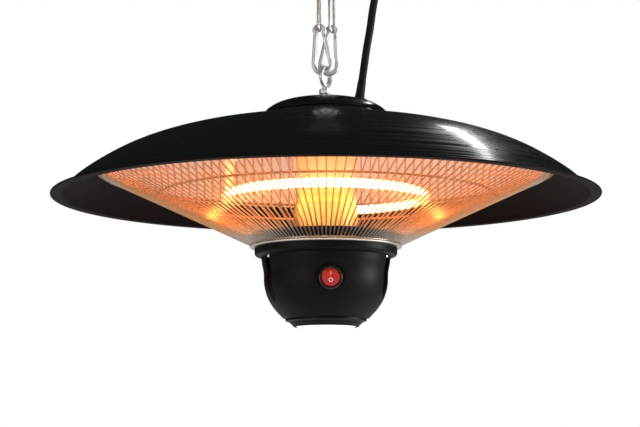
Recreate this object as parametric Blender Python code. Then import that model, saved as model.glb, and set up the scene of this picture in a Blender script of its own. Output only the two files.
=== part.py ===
# Ceiling-hung infrared heater. Metres, +Z up. The origin is on the ceiling, in the middle of the ceiling plate.
# Heights written below count from the plane of the shade's rim, and RIM_DROP is how far that plane hangs down.
import math

import bmesh
import bpy
from mathutils import Matrix, Vector

# Driving dimensions
RIM_DROP = 0.380
GAP = 0.0003

PLATE_RADIUS = 0.035
PLATE_THICK = 0.004
PLATE_HOLE_RADIUS = 0.0025
PLATE_HOLE_OFFSET = 0.027
STAPLE_WIRE = 0.005
STAPLE_HALF_WIDTH = 0.019
STAPLE_CORNER = 0.007

LINK_WIRE = 0.003
LINK_LENGTH = 0.052
LINK_WIDTH = 0.0134
LEG_SPREAD = 0.0070
LEG_TURNS = (12.0, 28.6)

HOOK_WIRE = 0.005
HOOK_LENGTH = 0.0582
HOOK_WIDTH = 0.0240
HOOK_TOP = 0.1970
HOOK_TOP_RADIUS = 0.0052
HOOK_NECK_HALF = 0.0043
HOOK_TOP_X = 0.0070
HOOK_BOTTOM_X = 0.0030
HOOK_SIDE_STEP = 0.00278
GATE_HINGE_HEIGHT = 0.0140
GATE_LATCH_HEIGHT = -0.0115
TONGUE_THICK = 0.0018
TONGUE_SLOT = 0.0026
TONGUE_LENGTH = 0.0036
GATE_PIN_RADIUS = 0.0009
GATE_PIN_HOLE_RADIUS = 0.0012

EYE_WIRE = 0.005
EYE_RADIUS = 0.0105
EYE_TURN = 27.0
SHANK_RADIUS = 0.0040
SHANK_HOLE_RADIUS = 0.0044
SHANK_REACH = 0.0035
NUT_ACROSS = 0.013
NUT_HEIGHT = 0.0050

SHADE_RADIUS = 0.300
SHADE_WALL = 0.0010
SHADE_HUB_HEIGHT = 0.0950
SHADE_HUB_RADIUS = 0.062
SHADE_HOLE_RADIUS = 0.030
LIP_WIDTH = 0.011
LIP_INNER_RADIUS = SHADE_RADIUS - LIP_WIDTH
LIP_THICK = 0.0022
# The shade's curve: shares of the way from its hub out to its lip, and of its hub's height
SHADE_CURVE = ((0.123, 0.914), (0.282, 0.821), (0.454, 0.730), (0.599, 0.624), (0.718, 0.505), (0.824, 0.364),
               (0.921, 0.205), (1.0, 0.036))

CAP_RADIUS = 0.068
CAP_HEIGHT = 0.0184
CAP_OVERLAP = 0.0009
CAP_BOTTOM = SHADE_HUB_HEIGHT - CAP_OVERLAP
CAP_TOP = CAP_BOTTOM + CAP_HEIGHT
CAP_WALL = 0.0022
# The cap's curve: shares of its radius and of its height
CAP_CURVE = ((0.294, 0.962), (0.529, 0.864), (0.706, 0.728), (0.838, 0.549), (0.949, 0.293), (1.0, 0.0))

MOUNT_PLATE_RADIUS = 0.048
MOUNT_PLATE_THICK = 0.0025
HUB_SCREW_CIRCLE = 0.039
HUB_SCREW_COUNT = 3
HUB_SCREW_RADIUS = 0.0021
HUB_SCREW_HOLE_RADIUS = 0.0025
HUB_SCREW_HEAD_RADIUS = 0.0036
HUB_SCREW_HEAD_HEIGHT = 0.0022
SPACER_RADIUS = 0.0050

REFLECTOR_HUB_DROP = 0.0102
REFLECTOR_HUB_TOP = SHADE_HUB_HEIGHT - REFLECTOR_HUB_DROP
REFLECTOR_WALL = 0.0012
REFLECTOR_HOLE_RADIUS = 0.028
REFLECTOR_HUB_RADIUS = 0.056
REFLECTOR_RIM_INSET = 0.049
REFLECTOR_RIM_RADIUS = SHADE_RADIUS - REFLECTOR_RIM_INSET
REFLECTOR_RIM_WIDTH = 0.012
REFLECTOR_RIM_HEIGHT = 0.0273
# The bowl's curve: shares of the way from its hub out to its rim, and up from its rim to its hub
REFLECTOR_CURVE = ((0.0, 1.0), (0.158, 0.883), (0.432, 0.702), (0.650, 0.528), (0.825, 0.297), (1.0, 0.0))

COLUMN_RADIUS = 0.033
COLUMN_WALL = 0.0015
COLUMN_FLANGE_RADIUS = 0.046
BASE_TOP = -0.0070
BASE_WALL = 0.0018

PAN_FLOOR_BOTTOM = -0.0516
PAN_FLOOR_THICK = 0.0012
PAN_FLOOR_RADIUS = 0.0770
PAN_RIM_RADIUS = 0.0876
PAN_RIM_HEIGHT = -0.0400
PAN_HOLE_RADIUS = 0.024

WIRE_COUNT = 136
WIRE_WIDTH = 0.0018
WIRE_HEIGHT = 0.0020
GUARD_RIM_INSET = 0.0080
GUARD_RIM_DROP = 0.0023
GUARD_TOP_RADIUS = REFLECTOR_RIM_RADIUS - GUARD_RIM_INSET
GUARD_TOP_HEIGHT = REFLECTOR_RIM_HEIGHT - GUARD_RIM_DROP
GUARD_TOP_BAND = 0.0050
GUARD_PAN_CLEARANCE = 0.0040
GUARD_LOW_RADIUS = PAN_FLOOR_RADIUS + GUARD_PAN_CLEARANCE
GUARD_LOW_HEIGHT = PAN_FLOOR_BOTTOM + PAN_FLOOR_THICK
GUARD_LOW_BAND = 0.0030
MID_RING_RADIUS = 0.186
MID_RING_WIRE = 0.0024

TRIM_INNER_RADIUS = 0.0705
TRIM_OUTER_RADIUS = 0.0836
TRIM_THICK = 0.0019

CLIP_COUNT = 3
CLIP_WIDTH = 0.012
CLIP_THICK = 0.0010
CLIP_UPPER_REACH = 0.0070
CLIP_LOWER_REACH = 0.0085

LAMP_RADIUS = 0.110
LAMP_TUBE_RADIUS = 0.0050
LAMP_HEIGHT = 0.0025
LAMP_START = 175.0
LAMP_SWEEP = 280.0
LAMP_BEND = 0.020
LAMP_RISE = 0.046
HOLDER_SIZE = (0.020, 0.016)

HOUSING_TOP = PAN_FLOOR_BOTTOM - TRIM_THICK - 2 * GAP
HOUSING_HEIGHT = 0.0761
HOUSING_FOOT = HOUSING_TOP - HOUSING_HEIGHT
HOUSING_WALL = 0.0025
HOUSING_FLANGE_RADIUS = 0.0781
HOUSING_FLANGE_DEPTH = 0.0099
HOUSING_BELLY_RADIUS = 0.0700
HOUSING_FOOT_RADIUS = 0.0475
HOUSING_STEP = 0.0014
HOUSING_STEP_RADIUS = 0.0445
HOUSING_OPENING_RADIUS = 0.0405
# The bowl's curve: shares of the way in from its belly to its foot, and down from the top to the foot
HOUSING_CURVE = ((0.0, 0.222), (0.084, 0.354), (0.102, 0.498), (0.178, 0.623), (0.338, 0.748), (0.609, 0.872),
                 (1.0, 1.0))
SLOT_RADIUS = 0.0062
SLOT_CIRCLE = 0.0665
SLOT_TOP = HOUSING_TOP - HOUSING_FLANGE_DEPTH
SLOT_ANGLES = (-68.0, 68.0, 180.0)
SLOT_WALL = 0.0022
HOUSING_TURN = 4.0
SCREW_RADIUS = 0.0019
SCREW_HOLE_RADIUS = 0.0023
SCREW_HEAD_RADIUS = 0.0040
SCREW_HEAD_HEIGHT = 0.0026

SWITCH_DROP = 0.0379
SWITCH_HEIGHT = HOUSING_TOP - SWITCH_DROP
SWITCH_RECESS_RADIUS = 0.0164
SWITCH_RECESS_FLOOR = 0.0650
SWITCH_BOSS_WALL = 0.0022
SWITCH_BODY_RADIUS = 0.0112
SWITCH_HOLE_RADIUS = 0.0116
SWITCH_BEZEL_RADIUS = 0.0127
SWITCH_BEZEL_THICK = 0.0030
SWITCH_DEPTH = 0.0230
ROCKER_POCKET_RADIUS = 0.0102
ROCKER_RADIUS = 0.0099
ROCKER_SLOPE = 9.0
ROCKER_CREST = 0.0040

LENS_RADIUS = 0.0330
LENS_DROP = 0.0093
LENS_RIM_HEIGHT = HOUSING_FOOT - LENS_DROP
LENS_CROWN = 0.0080
LENS_WALL = 0.0020
LENS_SEAT = 0.0040
LENS_RING_WALL = 0.0035
LENS_RING_REACH = 0.0017
LENS_RING_TOP = HOUSING_FOOT + LENS_RING_REACH
BOARD_RADIUS = 0.0385
BOARD_THICK = 0.0016

CORD_RADIUS = 0.00425
GLAND_X = 0.0370
GLAND_Y = 0.0060
GLAND_SEAT = CAP_TOP - 0.0025
GLAND_TILT = 8.5
GLAND_RADIUS = 0.0093
GLAND_NECK_RADIUS = 0.0066
GLAND_BORE_RADIUS = 0.0058
GLAND_HEIGHT = 0.0042
RELIEF_LENGTH = 0.0240

COIL_X = 0.0475
COIL_Y = 0.0200
COIL_HEIGHT = 0.3080
COIL_OUTER = 0.0600
COIL_PITCH = 0.0092
COIL_START = -60.0
COIL_TURNS = 5 + 160.0 / 360.0
COIL_STEPS = 24
TIE_HEIGHT = 0.3000
TIE_WIDTH = 0.0140
TIE_THICK = 0.0015

PLUG_X = -0.0450
PLUG_TOP = 0.3220
PLUG_RELIEF = 0.0240
PLUG_BODY = 0.0440
PLUG_RADIUS = 0.0185
PLUG_EDGE = 0.002
# The plug's taper: shares of its radius and of its body's length
PLUG_TAPER = ((1.0, 0.364), (0.838, 0.455), (0.730, 0.682), (0.568, 0.955), (0.459, 1.045))
PIN_RADIUS = 0.0024
PIN_SPACING = 0.0190
PIN_LENGTH = 0.0190

SHADE_SEGMENTS = 40
RING_SEGMENTS = 28


# Scene and materials
def clear_scene():
    for old in list(bpy.data.objects):
        bpy.data.objects.remove(old, do_unlink=True)


def make_material(name, colour, metallic=0.0, roughness=0.5):
    material = bpy.data.materials.new(name)
    material.use_nodes = True
    shader = material.node_tree.nodes["Principled BSDF"]
    shader.inputs["Base Color"].default_value = (*colour, 1.0)
    shader.inputs["Metallic"].default_value = metallic
    shader.inputs["Roughness"].default_value = roughness
    return material


# Small geometry helpers
def arc(centre, radius, start, end, steps):
    points = []
    for i in range(steps + 1):
        angle = math.radians(start + (end - start) * i / steps)
        points.append((centre[0] + radius * math.cos(angle), centre[1] + radius * math.sin(angle)))
    return points


def smooth(points, steps):
    # A Catmull-Rom curve through the points, of any number of coordinates
    ends = [tuple(2 * a - b for a, b in zip(points[0], points[1]))]
    ends += [tuple(p) for p in points]
    ends += [tuple(2 * a - b for a, b in zip(points[-1], points[-2]))]
    curve = []
    for i in range(1, len(ends) - 2):
        p0, p1, p2, p3 = ends[i - 1:i + 3]
        for step in range(steps):
            t = step / steps
            curve.append(tuple(
                0.5 * (2 * b + (c - a) * t + (2 * a - 5 * b + 4 * c - d) * t * t
                       + (3 * b - a - 3 * c + d) * t * t * t)
                for a, b, c, d in zip(p0, p1, p2, p3)))
    curve.append(ends[-2])
    return curve


def resample(points, spacing):
    # Even steps along a path, ends kept
    lengths = [0.0]
    for a, b in zip(points, points[1:]):
        lengths.append(lengths[-1] + math.dist(a, b))
    count = max(2, round(lengths[-1] / spacing))
    result = []
    j = 0
    for i in range(count + 1):
        target = lengths[-1] * i / count
        while j < len(points) - 2 and lengths[j + 1] < target:
            j += 1
        span = lengths[j + 1] - lengths[j]
        t = (target - lengths[j]) / span
        result.append(tuple(a + (b - a) * t for a, b in zip(points[j], points[j + 1])))
    return result


def offset(path, distance):
    # The path moved to its right by the distance, as seen with r to the right and z up
    moved = []
    for i, point in enumerate(path):
        before = path[max(i - 1, 0)]
        after = path[min(i + 1, len(path) - 1)]
        along = Vector((after[0] - before[0], after[1] - before[1])).normalized()
        moved.append((point[0] + along.y * distance, point[1] - along.x * distance))
    return moved


def finish(name, mesh, material, parent, location, rotation=(0.0, 0.0, 0.0)):
    obj = bpy.data.objects.new(name, mesh)
    bpy.context.collection.objects.link(obj)
    if not mesh.materials:
        mesh.materials.append(material)
    obj.parent = parent
    obj.location = location
    obj.rotation_euler = rotation
    return obj


def mesh_from(bm, name, smooth_angle=35.0):
    bmesh.ops.remove_doubles(bm, verts=bm.verts, dist=1e-6)
    bmesh.ops.recalc_face_normals(bm, faces=bm.faces)
    mesh = bpy.data.meshes.new(name)
    bm.to_mesh(mesh)
    bm.free()
    mesh.shade_smooth()
    mesh.set_sharp_from_angle(angle=math.radians(smooth_angle))
    return mesh


def between(start, end, share):
    return start + (end - start) * share


def turned(name, profile, segments=RING_SEGMENTS):
    # A closed outline of (radius, height) points spun round Z
    bm = bmesh.new()
    verts = [bm.verts.new((r, 0.0, z)) for r, z in profile]
    edges = [bm.edges.new((a, b)) for a, b in zip(verts, verts[1:] + verts[:1])]
    axis_edges = [e for e in edges if max(abs(v.co.x) for v in e.verts) < 1e-7]
    bmesh.ops.delete(bm, geom=axis_edges, context="EDGES_FACES")
    bmesh.ops.spin(bm, geom=bm.edges[:], cent=(0, 0, 0), axis=(0, 0, 1), angle=2 * math.pi,
                   steps=segments, use_merge=True)
    return mesh_from(bm, name)


def block(name, size, centre=(0.0, 0.0, 0.0)):
    bm = bmesh.new()
    bmesh.ops.create_cube(bm, size=1.0)
    bmesh.ops.scale(bm, vec=size, verts=bm.verts)
    bmesh.ops.translate(bm, vec=centre, verts=bm.verts)
    return mesh_from(bm, name)


def rod(name, radius, low, high, sides=16, centre=(0.0, 0.0)):
    bm = bmesh.new()
    bmesh.ops.create_cone(bm, cap_ends=True, segments=sides, radius1=radius, radius2=radius, depth=high - low)
    # Turned a little, so that its corners miss the seams of what it cuts
    bmesh.ops.rotate(bm, verts=bm.verts, matrix=Matrix.Rotation(0.07, 3, "Z"))
    bmesh.ops.translate(bm, vec=(centre[0], centre[1], (low + high) / 2), verts=bm.verts)
    return mesh_from(bm, name)


def prism(name, outline, low, high):
    # A flat outline of (x, y) points drawn up along Z
    bm = bmesh.new()
    face = bm.faces.new([bm.verts.new((x, y, low)) for x, y in outline])
    raised = bmesh.ops.extrude_face_region(bm, geom=[face])
    top = [v for v in raised["geom"] if isinstance(v, bmesh.types.BMVert)]
    bmesh.ops.translate(bm, vec=(0, 0, high - low), verts=top)
    return mesh_from(bm, name)


def combine(obj, mesh, operation, matrix=Matrix.Identity(4)):
    # Unites or cuts with a hidden guide shape, placed in the object's own space
    guide = bpy.data.objects.new(obj.name + "_guide", mesh)
    bpy.context.collection.objects.link(guide)
    guide.parent = obj
    guide.matrix_local = matrix
    guide.hide_render = True
    guide.display_type = "WIRE"
    modifier = obj.modifiers.new(operation.lower(), "BOOLEAN")
    modifier.operation = operation
    modifier.solver = "EXACT"
    modifier.object = guide
    return guide


def tube(name, points, radius, resolution, material, parent, location, cyclic=False):
    curve = bpy.data.curves.new(name, "CURVE")
    curve.dimensions = "3D"
    curve.bevel_depth = radius
    curve.bevel_resolution = resolution
    curve.use_fill_caps = True
    spline = curve.splines.new("POLY")
    spline.points.add(len(points) - 1)
    for target, point in zip(spline.points, points):
        target.co = (*point, 1.0)
    spline.use_cyclic_u = cyclic
    spline.use_smooth = True
    curve.materials.append(material)
    obj = bpy.data.objects.new(name, curve)
    bpy.context.collection.objects.link(obj)
    obj.parent = parent
    obj.location = location
    return obj


def swept(name, points, radius, sides, cyclic=False):
    # A round bar along a path, as a mesh; the section keeps its turn along the path
    path = [Vector(p) for p in points]
    count = len(path)
    bm = bmesh.new()
    rings = []
    side = None
    for i, point in enumerate(path):
        before = path[(i - 1) % count] if cyclic else path[max(i - 1, 0)]
        after = path[(i + 1) % count] if cyclic else path[min(i + 1, count - 1)]
        along = (after - before).normalized()
        if side is None:
            side = along.orthogonal().normalized()
        side = (side - along * side.dot(along)).normalized()
        up = along.cross(side)
        ring = []
        for k in range(sides):
            turn = 2 * math.pi * (k + 0.5) / sides
            ring.append(bm.verts.new(point + (side * math.cos(turn) + up * math.sin(turn)) * radius))
        rings.append(ring)
    pairs = list(zip(rings, rings[1:]))
    if cyclic:
        pairs.append((rings[-1], rings[0]))
    for a, b in pairs:
        for k in range(sides):
            bm.faces.new((a[k], a[(k + 1) % sides], b[(k + 1) % sides], b[k]))
    if not cyclic:
        bm.faces.new(rings[0][::-1])
        bm.faces.new(rings[-1])
    return mesh_from(bm, name, 60.0)


def pivot(name, place, parent=None, rotation=(0.0, 0.0, 0.0)):
    empty = bpy.data.objects.new(name, None)
    bpy.context.collection.objects.link(empty)
    empty.empty_display_size = 0.02
    empty.parent = parent
    empty["place"] = tuple(place)
    start = Vector(parent["place"]) if parent else Vector((0.0, 0.0, 0.0))
    empty.location = Vector(place) - start
    empty.rotation_euler = rotation
    return empty


def from_rim(parent, x=0.0, y=0.0, height=0.0):
    # Location under an unturned pivot of a point given by its height over the rim plane
    return Vector((x, y, height - RIM_DROP)) - Vector(parent["place"])


def least_gap(path_a, path_b):
    return min(math.dist(a, b) for a in path_a for b in path_b)


# Heights along the chain, worked up from the hooks to the staple
def link_turn(side, index):
    # How far a link is turned round the strand, out of the plane square to the staple
    if index == 0:
        return math.radians(-LEG_TURNS[side > 0])
    return math.radians(90.0 if index == 1 else 0.0)


def placed_link(side, index, height):
    turn = Matrix.Rotation(link_turn(side, index), 4, "Z")
    place = Vector((side * LEG_SPREAD, 0.0, height))
    return [tuple(place + (turn @ Vector(p))) for p in link_path(16)]


def hook_wire(side):
    # The hook's wire, with its strand's sideways step left out
    place = Vector(hook_place(side))
    place.y = 0.0
    turn = Matrix.Rotation(hook_tilt(side), 4, "Y")
    path = smooth([(x, 0.0, z) for x, z in hook_wall_path()], 4)
    return [tuple(place + (turn @ Vector(p))) for p in path]


def chain_heights():
    # Each link's centre height, as high as it goes before it touches what hangs in it
    heights = []
    for index in range(3):
        if index == 0:
            height = HOOK_TOP - HOOK_WIRE - LINK_WIRE + LINK_LENGTH / 2
            wanted = (HOOK_WIRE + LINK_WIRE) / 2 + GAP
        else:
            height = heights[-1] + LINK_LENGTH - 2 * LINK_WIRE
            wanted = LINK_WIRE + GAP
        for side in (-1, 1):
            below = placed_link(side, index - 1, heights[-1]) if index else hook_wire(side)
            while least_gap(placed_link(side, index, height), below) < wanted:
                height -= 0.00005
        heights.append(height)
    return heights


def saddle_height():
    return CHAIN_HEIGHTS[2] + LINK_LENGTH / 2 - LINK_WIRE - GAP - STAPLE_WIRE / 2


# Ceiling fixture
def build_ceiling_plate(material):
    bottom = -PLATE_THICK
    outline = [(0.0, 0.0), (0.0, bottom), (PLATE_RADIUS - 0.0015, bottom), (PLATE_RADIUS, bottom + 0.0015),
               (PLATE_RADIUS, 0.0)]
    plate = finish("ceiling_plate", turned("ceiling_plate", outline, 24), material, None, (0, 0, 0))
    for side in (-1, 1):
        spot = (0.0, side * PLATE_HOLE_OFFSET)
        combine(plate, rod("hole", PLATE_HOLE_RADIUS, -2 * PLATE_THICK, PLATE_THICK, 12, spot), "DIFFERENCE")


def build_staple(material):
    top = RIM_DROP - PLATE_THICK - GAP
    low = saddle_height()
    half = STAPLE_HALF_WIDTH
    corner = STAPLE_CORNER
    path = [(-half, top)]
    path += arc((-half + corner, low + corner), corner, 180, 270, 5)
    path += arc((half - corner, low + corner), corner, 270, 360, 5)
    path += [(half, top)]
    points = [(x, 0.0, z - RIM_DROP) for x, z in path]
    tube("ceiling_staple", points, STAPLE_WIRE / 2, 1, material, None, (0, 0, 0))


# Chain
def link_path(steps=5):
    radius = (LINK_WIDTH - LINK_WIRE) / 2
    straight = LINK_LENGTH / 2 - LINK_WIDTH / 2
    outline = arc((0.0, straight), radius, 0, 180, steps)
    outline += arc((0.0, -straight), radius, 180, 360, steps)
    return [(0.0, y, z) for y, z in outline]


def leg_lean(side):
    # Each strand leans a little, from the saddle to its own hook
    drop = saddle_height() - (HOOK_TOP - HOOK_WIRE / 2)
    return math.atan2(side * HOOK_SIDE_STEP, drop)


def build_chain(material, hanger):
    names = ("lower", "middle", "upper")
    for side, word in ((-1, "left"), (1, "right")):
        lean = leg_lean(side)
        for index, name in enumerate(names):
            drop = saddle_height() - CHAIN_HEIGHTS[index]
            y = drop * math.sin(lean)
            z = saddle_height() - drop * math.cos(lean)
            link = tube("chain_link_%s_%s" % (name, word), link_path(), LINK_WIRE / 2, 1, material, hanger,
                        from_rim(hanger, side * LEG_SPREAD, y, z), cyclic=True)
            link.rotation_euler = (lean, 0.0, link_turn(side, index))


# Snap hooks: local X to the right, local Z up, centre at mid height
def hook_wall_path():
    half = HOOK_LENGTH / 2
    top_centre = half - HOOK_WIRE / 2 - HOOK_TOP_RADIUS
    low_radius = (HOOK_WIDTH - HOOK_WIRE) / 2
    low_centre = -half + HOOK_WIRE / 2 + low_radius
    neck = top_centre - 0.0035
    path = [(gate_point(GATE_HINGE_HEIGHT)[0] - 0.0002, GATE_HINGE_HEIGHT + 0.0029)]
    path += arc((0.0, top_centre), HOOK_TOP_RADIUS, -18, 198, 10)
    path += [(-HOOK_NECK_HALF, neck), (-HOOK_NECK_HALF - 0.0009, neck - 0.005)]
    path += arc((0.0, low_centre), low_radius, 174, 354, 10)
    path += [gate_point(GATE_LATCH_HEIGHT - 0.0022)]
    return path


def gate_point(height):
    # The gate closes the straight from the neck down to the wide end
    low_radius = (HOOK_WIDTH - HOOK_WIRE) / 2
    low_centre = -HOOK_LENGTH / 2 + HOOK_WIRE / 2 + low_radius
    top = (HOOK_NECK_HALF, HOOK_LENGTH / 2 - HOOK_WIRE / 2 - HOOK_TOP_RADIUS - 0.0035)
    share = (top[1] - height) / (top[1] - low_centre)
    return (top[0] + (low_radius - top[0]) * share, height)


def gate_tilt():
    upper = gate_point(GATE_HINGE_HEIGHT)
    lower = gate_point(GATE_LATCH_HEIGHT)
    return math.atan2(lower[0] - upper[0], upper[1] - lower[1])


def hook_place(side):
    height = HOOK_TOP - HOOK_LENGTH / 2
    x = side * (HOOK_TOP_X + HOOK_BOTTOM_X) / 2
    return (x, side * HOOK_SIDE_STEP, height)


def hook_tilt(side):
    return side * math.atan2(HOOK_TOP_X - HOOK_BOTTOM_X, HOOK_LENGTH - HOOK_WIRE - HOOK_TOP_RADIUS)


def build_snap_hooks(steel, hanger):
    for side, word in ((-1, "left"), (1, "right")):
        place = hook_place(side)
        frame = pivot("snap_hook_%s_frame" % word, (place[0], place[1], place[2] - RIM_DROP), hanger,
                      (0.0, hook_tilt(side), 0.0))
        points = [(x, 0.0, z) for x, z in hook_wall_path()]
        name = "snap_hook_" + word
        body = finish(name, swept(name, points, HOOK_WIRE / 2, 6), steel, frame, (0, 0, 0))
        tilt = gate_tilt()
        hinge = gate_point(GATE_HINGE_HEIGHT)
        latch = gate_point(GATE_LATCH_HEIGHT)
        wire = HOOK_WIRE
        upper = block("tongue", (wire * 0.76, TONGUE_THICK, TONGUE_LENGTH * 1.6), (0, 0, TONGUE_LENGTH * 0.35))
        lower = block("tongue", (wire * 0.6, TONGUE_THICK, TONGUE_LENGTH * 1.4), (0, 0, -TONGUE_LENGTH * 0.35))
        turn = Matrix.Rotation(-tilt, 4, "Y")
        combine(body, upper, "UNION", Matrix.Translation((hinge[0], 0, hinge[1])) @ turn)
        combine(body, lower, "UNION", Matrix.Translation((latch[0], 0, latch[1])) @ turn)
        hole = rod("hole", GATE_PIN_RADIUS + 0.00005, -wire, wire, 10)
        across = Matrix.Translation((hinge[0], 0, hinge[1])) @ Matrix.Rotation(math.pi / 2, 4, "X")
        combine(body, hole, "DIFFERENCE", across)
        build_gate(word, steel, frame, hinge, tilt)


def build_gate(word, material, frame, hinge, tilt):
    # The bar hangs from its hinge pin, round at that end so that it turns clear of the hook's wire,
    # and a slot at each end takes the tongues of the hook
    joint = pivot("snap_gate_%s_pivot" % word, (0, 0, 0))
    joint.parent = frame
    joint.location = (hinge[0], 0.0, hinge[1])
    joint.rotation_euler = (0.0, -tilt, 0.0)
    length = (GATE_HINGE_HEIGHT - GATE_LATCH_HEIGHT) / math.cos(tilt)
    radius = HOOK_WIRE / 2
    low = -length - TONGUE_LENGTH * 0.30
    name = "snap_gate_" + word
    outline = [(0.0, low), (radius * 0.8, low), (radius, low + radius * 0.2)]
    outline += arc((0.0, 0.0), radius, 0, 90, 4)[:-1] + [(0.0, radius)]
    bar = finish(name, turned(name, outline, 12), material, joint, (0, 0, 0))
    for centre, height in ((0.0, 2.6 * TONGUE_LENGTH), (-length, 1.9 * TONGUE_LENGTH)):
        slot = block("slot", (4 * radius, TONGUE_SLOT, height), (0.0, 0.0, centre))
        combine(bar, slot, "DIFFERENCE")
    hole = rod("hole", GATE_PIN_HOLE_RADIUS, -HOOK_WIRE, HOOK_WIRE, 10)
    combine(bar, hole, "DIFFERENCE", Matrix.Rotation(math.pi / 2, 4, "X"))
    pin = rod("snap_pin_" + word, GATE_PIN_RADIUS - 0.0001, -radius * 0.98, radius * 0.98, 10)
    finish("snap_pin_" + word, pin, material, frame, (hinge[0], 0.0, hinge[1]), (math.pi / 2, 0.0, 0.0))


# Eye bolt: its height is worked out so that the ring lies on both hooks
def world_hook_wires():
    paths = []
    for side in (-1, 1):
        place = Vector(hook_place(side))
        turn = Matrix.Rotation(hook_tilt(side), 4, "Y")
        path = [(x, 0.0, z) for x, z in smooth(hook_wall_path(), 4)]
        paths += [tuple(place + (turn @ Vector(p))) for p in path]
    return paths


def eye_ring(height, steps=48):
    turn = Matrix.Rotation(math.radians(-EYE_TURN), 4, "Z")
    ring = []
    for y, z in arc((0.0, height), EYE_RADIUS, 0, 360, steps):
        ring.append(tuple(turn @ Vector((0.0, y, z))))
    return ring


def eye_height():
    hooks = world_hook_wires()
    wanted = (EYE_WIRE + HOOK_WIRE) / 2 + GAP
    height = HOOK_TOP - HOOK_LENGTH + HOOK_WIRE / 2
    while least_gap(eye_ring(height), hooks) > wanted:
        height -= 0.00005
    return height + 0.00005


def hexagon(across):
    radius = across / math.sqrt(3)
    turns = [math.radians(60 * i) for i in range(6)]
    return [(radius * math.cos(turn), radius * math.sin(turn)) for turn in turns]


def build_nut(name, low, high, material, heater):
    nut = finish(name, prism(name, hexagon(NUT_ACROSS), low, high), material, heater, from_rim(heater))
    combine(nut, rod("hole", SHANK_HOLE_RADIUS, low - 0.01, high + 0.01, 16), "DIFFERENCE")


def build_eye_bolt(material, heater, height):
    ring = [(0.0, y, z) for y, z in arc((0.0, 0.0), EYE_RADIUS, 0, 360, 20)][:-1]
    mesh = swept("eye_bolt", ring, EYE_WIRE / 2, 8, cyclic=True)
    bolt = finish("eye_bolt", mesh, material, heater, from_rim(heater, 0, 0, height),
                  (0.0, 0.0, math.radians(-EYE_TURN)))
    low = mount_plate_bottom() - NUT_HEIGHT - SHANK_REACH
    shank = rod("shank", SHANK_RADIUS, low - height, -EYE_RADIUS, 16)
    combine(bolt, shank, "UNION")
    build_nut("jam_nut", CAP_TOP + GAP, CAP_TOP + GAP + NUT_HEIGHT, material, heater)
    build_nut("lock_nut", CAP_TOP + 2 * GAP + NUT_HEIGHT, CAP_TOP + 2 * GAP + 2 * NUT_HEIGHT, material, heater)
    top = mount_plate_bottom() - GAP
    build_nut("hanger_nut", top - NUT_HEIGHT, top, material, heater)


# Top cap, a pressed dome over the connections
def cap_outline():
    curve = [(CAP_RADIUS * out, between(CAP_BOTTOM, CAP_TOP, up)) for out, up in CAP_CURVE]
    return [(0.0, CAP_TOP)] + curve


def gland_frame():
    spot = Matrix.Translation((GLAND_X, GLAND_Y, GLAND_SEAT))
    return spot @ Matrix.Rotation(math.radians(GLAND_TILT), 4, "Y")


def build_top_cap(material, heater):
    outer = cap_outline()
    inner = offset(outer, CAP_WALL)
    inner[0] = (0.0, CAP_TOP - CAP_WALL)
    inner[-1] = (CAP_RADIUS - CAP_WALL, CAP_BOTTOM)
    cap = finish("top_cap", turned("top_cap", outer + inner[::-1]), material, heater, from_rim(heater))
    hole = rod("hole", SHANK_HOLE_RADIUS, CAP_BOTTOM, CAP_TOP + 0.01, 16)
    combine(cap, hole, "DIFFERENCE")
    hole = rod("hole", GLAND_NECK_RADIUS + GAP, -0.02, 0.02, 20)
    combine(cap, hole, "DIFFERENCE", gland_frame())


def build_gland(plastic, rubber, heater):
    seat = 0.0011
    outline = [(GLAND_BORE_RADIUS, -0.006), (GLAND_NECK_RADIUS, -0.006), (GLAND_NECK_RADIUS, seat),
               (GLAND_RADIUS, seat), (GLAND_RADIUS, seat + 0.0012)]
    outline += [(GLAND_RADIUS - 0.0009, seat + 0.0028), (GLAND_RADIUS - 0.0026, GLAND_HEIGHT),
                (GLAND_BORE_RADIUS, GLAND_HEIGHT)]
    place = Matrix.Translation(from_rim(heater)) @ gland_frame()
    finish("cable_gland", turned("cable_gland", outline, 16), plastic, heater, place.to_translation(),
           place.to_euler())
    base = GLAND_BORE_RADIUS - GAP
    tip = CORD_RADIUS + 0.0004
    outline = [(0.0, -0.005), (base, -0.005), (base, GLAND_HEIGHT + 0.001)]
    middle = (base + tip) / 2 - 0.0001
    outline += smooth([(base, GLAND_HEIGHT + 0.0015), (middle, 0.011), (tip, RELIEF_LENGTH)], 3)
    outline += [(0.0, RELIEF_LENGTH)]
    finish("strain_relief", turned("strain_relief", outline, 12), rubber, heater, place.to_translation(),
           place.to_euler())


# Fixing parts under the cap
def mount_plate_bottom():
    return SHADE_HUB_HEIGHT + GAP


def mount_plate_top():
    return mount_plate_bottom() + MOUNT_PLATE_THICK


def hub_spots():
    for i in range(HUB_SCREW_COUNT):
        angle = math.radians(90 + 360 * i / HUB_SCREW_COUNT)
        yield i + 1, HUB_SCREW_CIRCLE * math.cos(angle), HUB_SCREW_CIRCLE * math.sin(angle)


def drill_hub(obj, low, high):
    for number, x, y in hub_spots():
        combine(obj, rod("hole", HUB_SCREW_HOLE_RADIUS, low, high, 8, (x, y)), "DIFFERENCE")


def build_mount_plate(steel, heater):
    low = mount_plate_bottom()
    high = mount_plate_top()
    outline = [(SHANK_HOLE_RADIUS, low), (MOUNT_PLATE_RADIUS, low), (MOUNT_PLATE_RADIUS, high),
               (SHANK_HOLE_RADIUS, high)]
    plate = finish("mounting_plate", turned("mounting_plate", outline, 20), steel, heater, from_rim(heater))
    drill_hub(plate, low - 0.01, high + 0.01)
    low = high + GAP
    high = CAP_TOP - CAP_WALL - 0.0006
    outline = [(SHANK_HOLE_RADIUS, low), (0.0075, low), (0.0075, high), (SHANK_HOLE_RADIUS, high)]
    finish("distance_sleeve", turned("distance_sleeve", outline, 16), steel, heater, from_rim(heater))


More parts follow.
